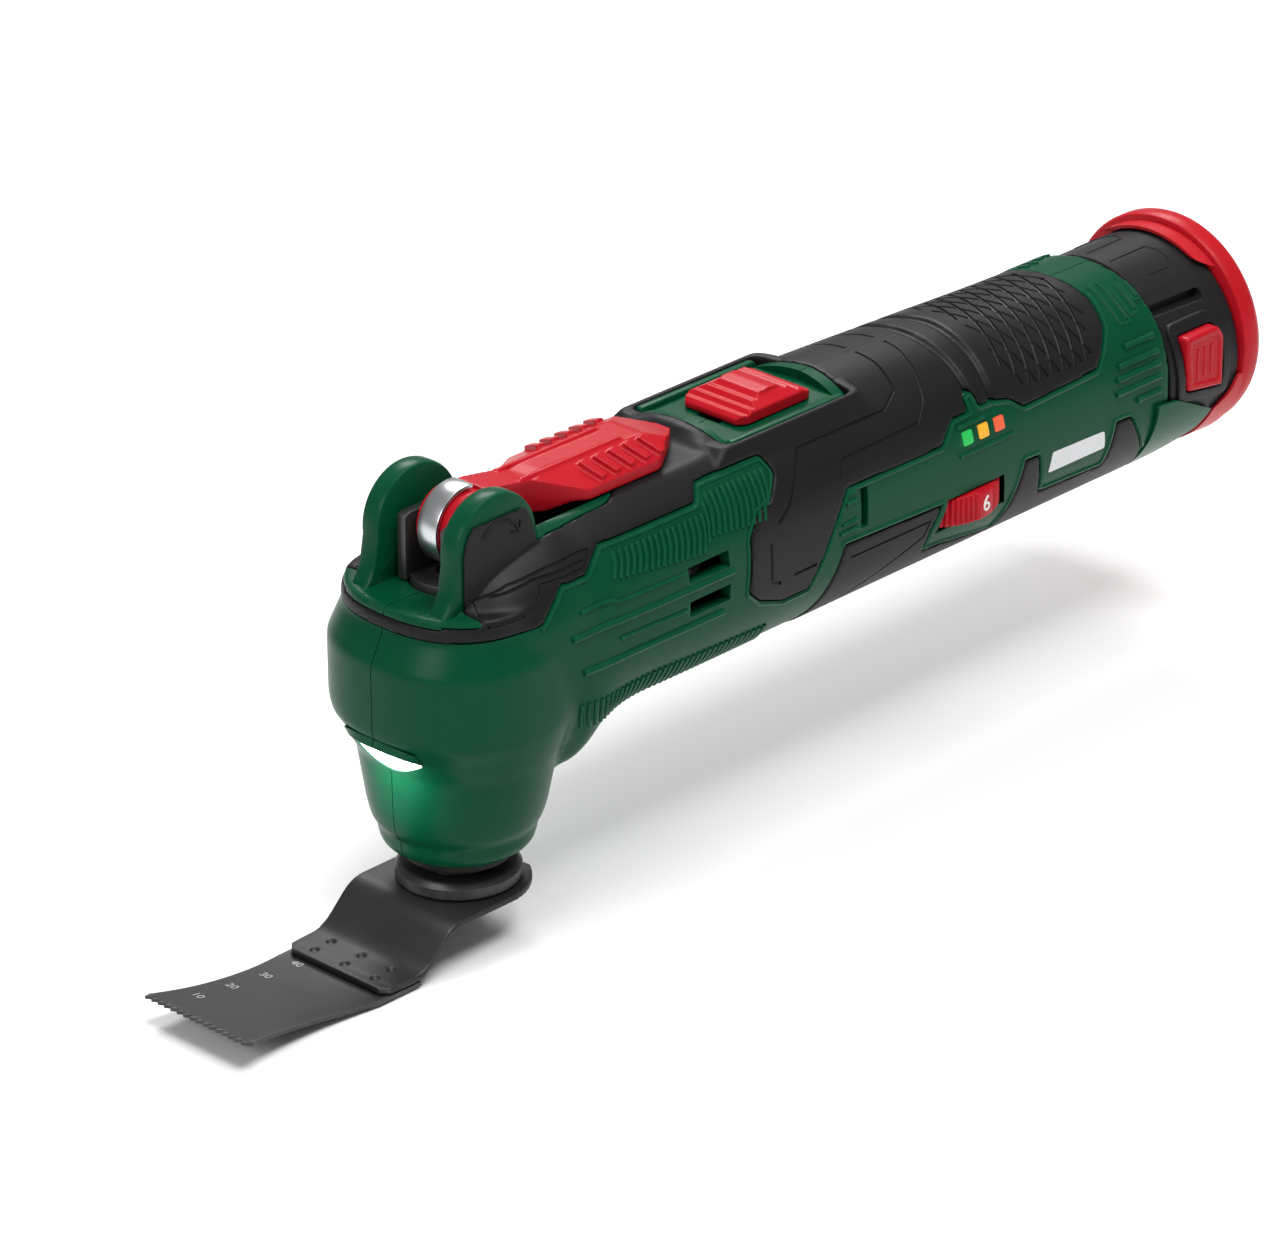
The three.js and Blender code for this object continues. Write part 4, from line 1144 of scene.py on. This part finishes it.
# ---- lamp and charge display -------------------------------------------------------------
def make_lamp():
    lens = head(0.35, 36.4, 45)
    carve(lens, [head(2.2, 35.4, 46), block(-10, 60, -60, 60, 30, 50)])
    carve(lens, [prism("window", lamp_outline(0.15), -40, -10, "x")], "INTERSECT")
    placed(painted(lens, "lamp"), "lit_lamp_lens", "housing", "clear_lens", ["lamp_lens"], 60)
    skin = grown(outer_body(), 0.12)
    for k, (x, shade) in enumerate(zip(WINDOWS_X, ("window_green", "window_amber", "window_red")), 1):
        plan = softened([(x - 1.7, 69.8), (x + 1.7, 69.8), (x + 1.7, 73.0), (x - 1.7, 73.0)], 0.5)
        window = prism("window", plan, -30, -21.5, "y")
        carve(window, [skin], "INTERSECT", keep=True)
        placed(painted(window, shade), f"tinted_{shade}", "housing", shade, [f"charge_window_{k}"])
    discard(skin)


# ---- clamp parts, blade ------------------------------------------------------------------
SPRING_COILS = 7


def make_clamp_parts():
    profile = [(4, 4.62), (13.7, 4.62), (14.1, 5.1), (14.1, 7.3), (13.8, 7.7), (13.1, 8.5), (12.6, 8.7),
               (9.2, 8.7),
               (9, 9), (9, 14.6), (7.3, 14.6), (7.3, 7.1), (4, 7.1), (4, 4.62)]
    flange = turned("flange", profile, made("dark steel"), 96)
    placed(flange, "turned_tool_flange", "spindle", "dark_steel", ["tool_flange"])
    foot = turned("foot", [(0, 0), (9.0, 0), (9.4, 0.4), (9.4, 1.9), (9.0, 2.3), (0, 2.3)],
                  made("dark steel"), 72)
    carve(foot, [block(-12, 12, 5.6, 12, -1, 1.1), block(-12, 12, -12, -5.6, -1, 1.1)])
    placed(painted(foot, "dark steel"), "turned_clamp_foot", "draw_bar", "dark_steel", ["clamp_foot"])
    seal = turned("seal", [(9.4, 10.6), (10.2, 10.4), (11.9, 10.4), (12.4, 10.9), (12.4, 15.2), (9.4, 15.2),
                           (9.4, 10.6)],
                  made("soft"), 72)
    placed(seal, "soft_spindle_seal", "housing", "soft_grip", ["spindle_seal"])
    low, high, radius = 47.2, 67.5, 4.25
    turns = 2 * math.pi * SPRING_COILS
    wire = [(radius * math.cos(a), radius * math.sin(a), low + (high - low) * a / turns)
            for a in np.linspace(0, turns, 24 * SPRING_COILS + 1)]
    spring = beads("spring", [wire], 0.45, made("bright"), 10)
    placed(spring, "wound_draw_spring", "spindle", "bright_steel", ["draw_spring"])
    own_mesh(spring)


BLADE = {"tip": -79.6, "root": -78.0, "half": 16.0, "waist": 12.4, "root_half": 15.8}


def blade_height(x):
    return float(along([(-80, -0.4), (-66, -2.9), (-56, -4.4), (-46, -5.6), (-38, -6.1), (-27, -6.1)],
                       [x])[0][0])


def make_blade():
    sizes = bpy.context.scene.multi_tool_sizes
    thick, count = sizes.blade_thickness / MM, sizes.saw_teeth
    stations = [(-27.5, BLADE["root_half"]), (-40, BLADE["root_half"])]
    for t in np.linspace(0, 1, 25)[1:]:
        x = (1 - t) ** 2 * -40 + 2 * t * (1 - t) * -62 + t * t * BLADE["root"]
        y = (1 - t) ** 2 * BLADE["root_half"] + 2 * t * (1 - t) * BLADE["waist"] + t * t * BLADE["half"]
        stations.append((x, y))
    rings = []
    for x, half in stations:
        top = blade_height(x)
        ys = np.linspace(-half, half, 33)
        rings.append([(x, y, top) for y in ys] + [(x, y, top - thick) for y in ys[::-1]])
    blade = loft("blade", rings)
    pitch = 2 * BLADE["half"] / count
    z = blade_height(BLADE["root"])
    lean = (blade_height(-79.5) - z) / 1.6
    behind, foot = BLADE["root"] + 0.6, BLADE["root"] - 0.1
    tooth = [(behind, 0.02), (behind, pitch - 0.02), (foot, pitch - 0.02), (BLADE["tip"], pitch - 0.35),
             (foot, 0.02)]
    solid = prism("tooth", [(x, y - BLADE["half"]) for x, y in tooth], z - thick + 0.06, z - 0.06, "z")
    for v in solid.data.vertices:
        v.co.z += lean * (BLADE["root"] * MM - v.co.x)
    teeth = grow(solid, "row", count=count, step=(0, pitch * MM, 0), material=made("blade"))
    painted(blade, "blade", "etched")
    attach(blade, teeth)
    for k, x in enumerate((-69.7, -59.7, -49.7, -40.4)):
        mark = lettering(str(10 * (k + 1)), 3.0, 0.12, made("etched"))
        tilt = math.atan2(blade_height(x - 1) - blade_height(x + 1), 2)
        spot = shift(x, 9.7, blade_height(x)) @ Matrix.Rotation(tilt, 4, "Y")
        spot = spot @ Matrix.Rotation(-math.pi / 2, 4, "Z")
        attach(blade, moved(mark, spot), slot=1)
    placed(blade, "stamped_saw_blade", "spindle", "blade_steel", ["saw_blade"], 25)

    top = softened([(14, 4.3), (-17.4, 4.3), (-26.6, -4.3), (-38.3, -4.3), (-38.3, -60), (14, -60)], 3.4, 7)
    top = [p for p in top if p[1] > -5]
    run = [p for p in top if -36.5 < p[0] < 12]
    run = [(14, 4.3)] + run + [(-38.3, -4.3)]
    strap = prism("strap", run + [(x - 0.35, h - 1.5) for x, h in reversed(run)], -17, 17)
    nose = [(16.2 * math.cos(a), 16.2 * math.sin(a)) for a in np.linspace(-1.45, 1.45, 24)]
    tail = [(-24, 16.1), (-36.3, 15.6), (-38.3, 13.6), (-38.3, -13.6)]
    plan = [(-36.3, -15.6), (-24, -16.1), (2, -16.1)] + nose + tail
    carve(strap, [prism("plan", plan, -30, 30, "z")], "INTERSECT")
    carve(strap, [prism("mouth", circle(5.7), -20, 20, "z"), block(0, 30, -3.6, 3.6, -20, 20)])
    dimples = []
    for x, y in ((-30.2, -9.5), (-30.2, 0), (-30.2, 9.5), (-35.2, -9.5), (-35.2, 0), (-35.2, 9.5)):
        dimples.append(prism("dimple", circle(1.0, x, y, 20), -4.9, 0, "z"))
    carve(strap, dimples)
    melt(strap, 0.28, 1, limit=150000)
    placed(outward(painted(strap, "blade")), "pressed_blade_adapter", "spindle", "blade_steel",
           ["blade_adapter"], 40)


# ---- screws ------------------------------------------------------------------------------
def make_screws():
    item = turned("screw", [(0, 0), (3.2, 0), (3.2, 1.3), (3.0, 1.65), (2.6, 1.8), (1.3, 1.8), (1.3, 0.8),
                            (0, 0.8)],
                  None, 48, "y")
    points = lines_from("screw_points", [[(x, 20.4, z)] for x, z in SCREWS])
    screws = grow(points, "scatter", item=item, material=made("dark steel"))
    discard(item)
    placed(screws, "housing_screws", "housing", "dark_steel", [f"housing_screw_{k}" for k in range(1, 6)])


# ---- battery -----------------------------------------------------------------------------
PACK_Z = 61.1
CAP_Z = 62.8
BUTTON = [(216.4, 58.6), (229.2, 56.6), (229.2, 69.4), (227.2, 72.2), (215.6, 72.2)]


def make_battery():
    profile = [(19.9, 163), (21.2, 163), (21.5, 163.4), (21.5, 211.5), (24.9, 211.5), (25.3, 211.9),
               (25.3, 235.7),
               (25.0, 236), (19.9, 236), (19.9, 163)]
    shell = turned("shell", profile, made("black"), 160, "x", (0, 0, PACK_Z))
    button_hole = softened(shrunk(BUTTON, -0.4), 1.4)
    slot = softened([(206, 77.4), (229.2, 76.6), (229.2, 79.2), (206, 79.6)], 1.1)
    tools = [prism("hole", button_hole, -40, -18), prism("hole", button_hole, 18, 40)]
    tools += [prism("slot", slot, -40, -16.4), prism("slot", slot, 16.4, 40)]
    carve(shell, tools)
    lip_outer, lip_inner = softened(shrunk(BUTTON, -2.9), 2.6), softened(shrunk(BUTTON, -0.4), 1.4)
    for side in (-1, 1):
        y0, y1 = sorted((side * 20, side * 40))
        lip = prism("lip", lip_outer, y0, y1)
        carve(lip, [prism("inner", lip_inner, -50, 50)])
        skin = turned("skin", [(23.0, 205), (26.15, 205), (26.15, 240), (23.0, 240), (23.0, 205)], None, 120,
                      "x", (0, 0, PACK_Z))
        carve(lip, [skin], "INTERSECT")
        attach(shell, melt(lip, 0.3, 2, limit=40000))
        panel = [(x, side * 25.32 * math.sin(math.radians(a)), PACK_Z + 25.32 * math.cos(math.radians(a)))
                 for x, a in ((214, 8), (226.4, 8), (228, 14), (228, 22), (226, 27), (219, 27))]
        attach(shell, beads("panel", [panel], 0.22, made("black"), 6))
    painted(shell, "black")
    placed(shell, "moulded_battery_shell", "battery", "black_plastic", ["battery_shell"])

    for side, word in SIDES:
        y0, y1 = sorted((side * 22.6, side * 26.5))
        button = prism("button", softened(BUTTON, 1.1), y0, y1, "y", 0.7)
        dish = [(x, z) for x, z in softened(shrunk(BUTTON, 1.6), 1.0)]
        d0, d1 = sorted((side * 26.1, side * 30))
        carve(button, [prism("dish", dish, d0, d1)])
        marks = [[(x, side * 26.1, 61.0), (x, side * 26.1, 68.4)] for x in (220.0, 222.4, 224.8)]
        melt(button, 0.24, 2, limit=40000)
        painted(button, "red")
        attach(button, beads("marks", marks, 0.34, made("red"), 8))
        placed(button, f"moulded_release_button_{word}", f"button_{word}", "red_plastic",
               [f"release_button_{word}"])

    profile = [(0, 236.6), (25.6, 236.6), (26.5, 236.9), (26.9, 237.7), (26.9, 241.0), (26.4, 242.3),
               (25.2, 243.3), (24.0, 243.6), (22.8, 243.6), (22.2, 243.2), (0, 243.2)]
    cap = turned("cap", profile, made("red"), 160, "x", (0, 0, CAP_Z))
    tabs = []
    for outline in ([(237.5, 92), (232.6, 92), (232.6, 83.8), (236.2, 81.8), (237.5, 81.8)],
                    [(237.5, 30), (229.6, 30), (229.6, 49.2), (233.8, 52.6), (235.6, 57), (237.5, 57)]):
        collar = turned("collar", [(25.65, 228), (25.65, 237.5), (26.5, 237.5), (26.3, 228), (25.65, 228)],
                        None, 160, "x", (0, 0, 61.4))
        carve(collar, [prism("tab", softened(outline, 0.9), -FAR, FAR)], "INTERSECT")
        tabs.append(collar)
    attach(cap, *tabs)
    painted(cap, "red")
    placed(cap, "moulded_end_cap", "battery", "red_plastic", ["battery_end_cap"])


# ---- pieces inside -----------------------------------------------------------------------
INNER = {
    "bright": ["lower_bearing", "upper_bearing", "front_motor_bearing", "spindle", "draw_bar", "motor_can",
               "motor_shaft", "eccentric", "eccentric_bearing"],
    "dark steel": ["rocker_clamp_screw"],
    "alloy": ["gear_case", "rocker_arm"],
    "copper": ["armature", "commutator"],
    "board": ["lamp_board", "charge_board", "control_board"],
    "black": ["motor_end_cap", "cooling_fan", "switch_module", "speed_control", "contact_block",
              "battery_terminals"],
    "cell": ["battery_cell_1", "battery_cell_2", "battery_cell_3"],
}


def make_inner():
    for finish, nodes in INNER.items():
        for node in nodes:
            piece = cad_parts[node]
            if not piece.material_slots:
                piece.data.materials.append(None)
            for slot in piece.material_slots:
                slot.material = made(finish)


# ---- stage -------------------------------------------------------------------------------
CAMERA_AT = (-0.9617, -0.9842, 0.7209)
TARGET = (0.05847, 0.0, 0.04362)
CAMERA_ROLL = -0.38     # degrees
FLOOR_HALF = 3.0
# name, place and side in metres, power in watts
LIGHTS = (
    ("key", (0.15, -0.5, 1.7), 0.9, 27),
    ("side", (-1.4, -0.1, 0.9), 0.7, 9),
    ("back", (0.9, 0.9, 1.3), 0.6, 19),
    ("lamp_glow", (-0.0285, -0.002, 0.0405), 0.014, 0.012),
)


def make_stage():
    scene = bpy.context.scene
    low, half = (CAD_BOX[0][2] - 0.0006) / MM, FLOOR_HALF / MM
    corners = [(-half, -half, low), (half, -half, low), (half, half, low), (-half, half, low)]
    floor = piece_from("floor", corners, [(0, 1, 2, 3)])
    pale = finish_of("pale floor", (0.90, 0.90, 0.90), (0.7, 0.8), depth=0.0, scuff_and_highlight=0.0, mottle=0.01)
    floor.data.materials.append(pale)
    world = bpy.data.worlds.new("studio")
    world.use_nodes = True
    backdrop = world.node_tree.nodes["Background"]
    backdrop.inputs["Color"].default_value = (1, 1, 1, 1)
    seen = put(world.node_tree, "ShaderNodeLightPath").outputs["Is Camera Ray"]
    level = put(world.node_tree, "ShaderNodeMapRange",
                {"Value": seen, "To Min": 0.28, "To Max": 0.85}).outputs[0]
    world.node_tree.links.new(level, backdrop.inputs["Strength"])
    scene.world = world
    for name, place, size, watts in LIGHTS:
        light = bpy.data.lights.new(name, "AREA")
        light.energy = watts
        light.size = size
        holder = bpy.data.objects.new(name, light)
        holder.location = place
        aim = Vector(TARGET) - Vector(place)
        if name == "lamp_glow":
            aim = Vector((0.006, 0, -0.02))
        holder.rotation_euler = aim.to_track_quat("-Z", "Y").to_euler()
        scene.collection.objects.link(holder)
    camera = bpy.data.cameras.new("camera")
    camera.sensor_width = 36
    camera.lens = 197.4
    camera.clip_start = 0.01
    holder = bpy.data.objects.new("camera", camera)
    view = (Vector(TARGET) - Vector(CAMERA_AT)).to_track_quat("-Z", "Y")
    holder.location = CAMERA_AT
    roll = Matrix.Rotation(math.radians(CAMERA_ROLL), 4, "Z")
    holder.rotation_euler = (view.to_matrix().to_4x4() @ roll).to_euler()
    scene.collection.objects.link(holder)
    scene.camera = holder
    scene.view_settings.view_transform = "Standard"


# ---- add-on ------------------------------------------------------------------------------
def length(name, about, default):
    """A length that a user can set, in metres."""
    return bpy.props.FloatProperty(name=name, description=about, default=default, min=0.00005, max=0.01,
                                   precision=5, subtype="DISTANCE", unit="LENGTH")


def colour(name, about, default):
    """A colour that a user can set."""
    return bpy.props.FloatVectorProperty(name=name, description=about, default=default, size=3, min=0, max=1,
                                         subtype="COLOR")


class MultiToolSizes(bpy.types.PropertyGroup):
    """Sizes of what repeats on the tool."""

    rib_radius: length("Rib radius", "Radius of the fine ribs of the green shell", 0.56 * MM)
    ledge_radius: length("Ledge radius", "Radius of the bold ledges of the green shell", 0.85 * MM)
    tread_radius: length("Tread groove radius", "Radius of the crossing grooves of the grip", 0.52 * MM)
    outline_radius: length("Outline radius", "Radius of the grooves engraved in the upper overmould",
                           0.42 * MM)
    blade_thickness: length("Blade thickness", "Thickness of the saw blade", 0.9 * MM)
    saw_teeth: bpy.props.IntProperty(name="Saw teeth", description="Teeth across the blade", default=16,
                                     min=4, max=40)
    dial_notches: bpy.props.IntProperty(name="Dial notches", description="Notches round the speed dial",
                                        default=72, min=12, max=120)


class MultiToolColours(bpy.types.PropertyGroup):
    """Colours of the visible finishes."""

    shell: colour("Shell", "Green plastic of the housing", (0.0008, 0.056, 0.023))
    overmould: colour("Overmould", "Soft black grip", (0.0085, 0.0085, 0.0092))
    battery: colour("Battery", "Black plastic of the battery", (0.011, 0.011, 0.012))
    controls: colour("Controls", "Red lever, switch, dial and end cap", (0.42, 0.006, 0.014))


class MULTITOOL_OT_housing(bpy.types.Operator):
    """Make the two green housing halves"""

    bl_idname = "multitool.housing"
    bl_label = "Housing halves"

    def execute(self, context):
        make_housing()
        return {"FINISHED"}


class MULTITOOL_OT_overmoulds(bpy.types.Operator):
    """Make the four soft black overmoulds"""

    bl_idname = "multitool.overmoulds"
    bl_label = "Soft overmoulds"

    def execute(self, context):
        make_overmoulds()
        return {"FINISHED"}


class MULTITOOL_OT_lever(bpy.types.Operator):
    """Make the clamp lever, its band, bracket and pin"""

    bl_idname = "multitool.lever"
    bl_label = "Clamp lever"

    def execute(self, context):
        make_lever()
        return {"FINISHED"}


class MULTITOOL_OT_switch(bpy.types.Operator):
    """Make the slide switch"""

    bl_idname = "multitool.switch"
    bl_label = "Slide switch"

    def execute(self, context):
        make_switch()
        return {"FINISHED"}


class MULTITOOL_OT_dial(bpy.types.Operator):
    """Make the knurled speed dial"""

    bl_idname = "multitool.dial"
    bl_label = "Speed dial"

    def execute(self, context):
        make_dial()
        return {"FINISHED"}


class MULTITOOL_OT_lamp(bpy.types.Operator):
    """Make the lamp lens and the charge windows"""

    bl_idname = "multitool.lamp"
    bl_label = "Lamp and display"

    def execute(self, context):
        make_lamp()
        return {"FINISHED"}


class MULTITOOL_OT_clamp(bpy.types.Operator):
    """Make the flange, the clamp foot, the seal and the draw spring"""

    bl_idname = "multitool.clamp"
    bl_label = "Clamp parts"

    def execute(self, context):
        make_clamp_parts()
        return {"FINISHED"}


class MULTITOOL_OT_blade(bpy.types.Operator):
    """Make the saw blade and its adapter"""

    bl_idname = "multitool.blade"
    bl_label = "Saw blade"

    def execute(self, context):
        make_blade()
        return {"FINISHED"}


class MULTITOOL_OT_screws(bpy.types.Operator):
    """Make the housing screws"""

    bl_idname = "multitool.screws"
    bl_label = "Housing screws"

    def execute(self, context):
        make_screws()
        return {"FINISHED"}


class MULTITOOL_OT_battery(bpy.types.Operator):
    """Make the battery shell, its release buttons and its end cap"""

    bl_idname = "multitool.battery"
    bl_label = "Battery"

    def execute(self, context):
        make_battery()
        return {"FINISHED"}


class MULTITOOL_OT_inner(bpy.types.Operator):
    """Give the pieces inside their finishes"""

    bl_idname = "multitool.inner"
    bl_label = "Inner pieces"

    def execute(self, context):
        make_inner()
        return {"FINISHED"}


class MULTITOOL_OT_stage(bpy.types.Operator):
    """Make the floor, the lights and the camera"""

    bl_idname = "multitool.stage"
    bl_label = "Stage"

    def execute(self, context):
        make_stage()
        return {"FINISHED"}


OPERATORS = [
    MULTITOOL_OT_housing,
    MULTITOOL_OT_overmoulds,
    MULTITOOL_OT_lever,
    MULTITOOL_OT_switch,
    MULTITOOL_OT_dial,
    MULTITOOL_OT_lamp,
    MULTITOOL_OT_clamp,
    MULTITOOL_OT_blade,
    MULTITOOL_OT_screws,
    MULTITOOL_OT_battery,
    MULTITOOL_OT_inner,
    MULTITOOL_OT_stage,
]


class MULTITOOL_PT_panel(bpy.types.Panel):
    """Lists the sizes, the colours and the pieces."""

    bl_label = "Multi tool"
    bl_idname = "MULTITOOL_PT_panel"
    bl_space_type = "VIEW_3D"
    bl_region_type = "UI"
    bl_category = "Multi tool"

    def draw(self, context):
        for group in (context.scene.multi_tool_sizes, context.scene.multi_tool_colours):
            for key in group.bl_rna.properties.keys():
                if key not in ("rna_type", "name"):
                    self.layout.prop(group, key)
        for kind in OPERATORS:
            self.layout.operator(kind.bl_idname)


CLASSES = [MultiToolSizes, MultiToolColours, MULTITOOL_PT_panel] + OPERATORS


def register():
    for kind in CLASSES:
        bpy.utils.register_class(kind)
    bpy.types.Scene.multi_tool_sizes = bpy.props.PointerProperty(type=MultiToolSizes)
    bpy.types.Scene.multi_tool_colours = bpy.props.PointerProperty(type=MultiToolColours)


def unregister():
    del bpy.types.Scene.multi_tool_colours
    del bpy.types.Scene.multi_tool_sizes
    for kind in reversed(CLASSES):
        bpy.utils.unregister_class(kind)


def main():
    register()
    for kind in OPERATORS:
        getattr(bpy.ops.multitool, kind.bl_idname.split(".")[1])()
    discard(kept.pop("body"))


if __name__ == "__main__":
    main()
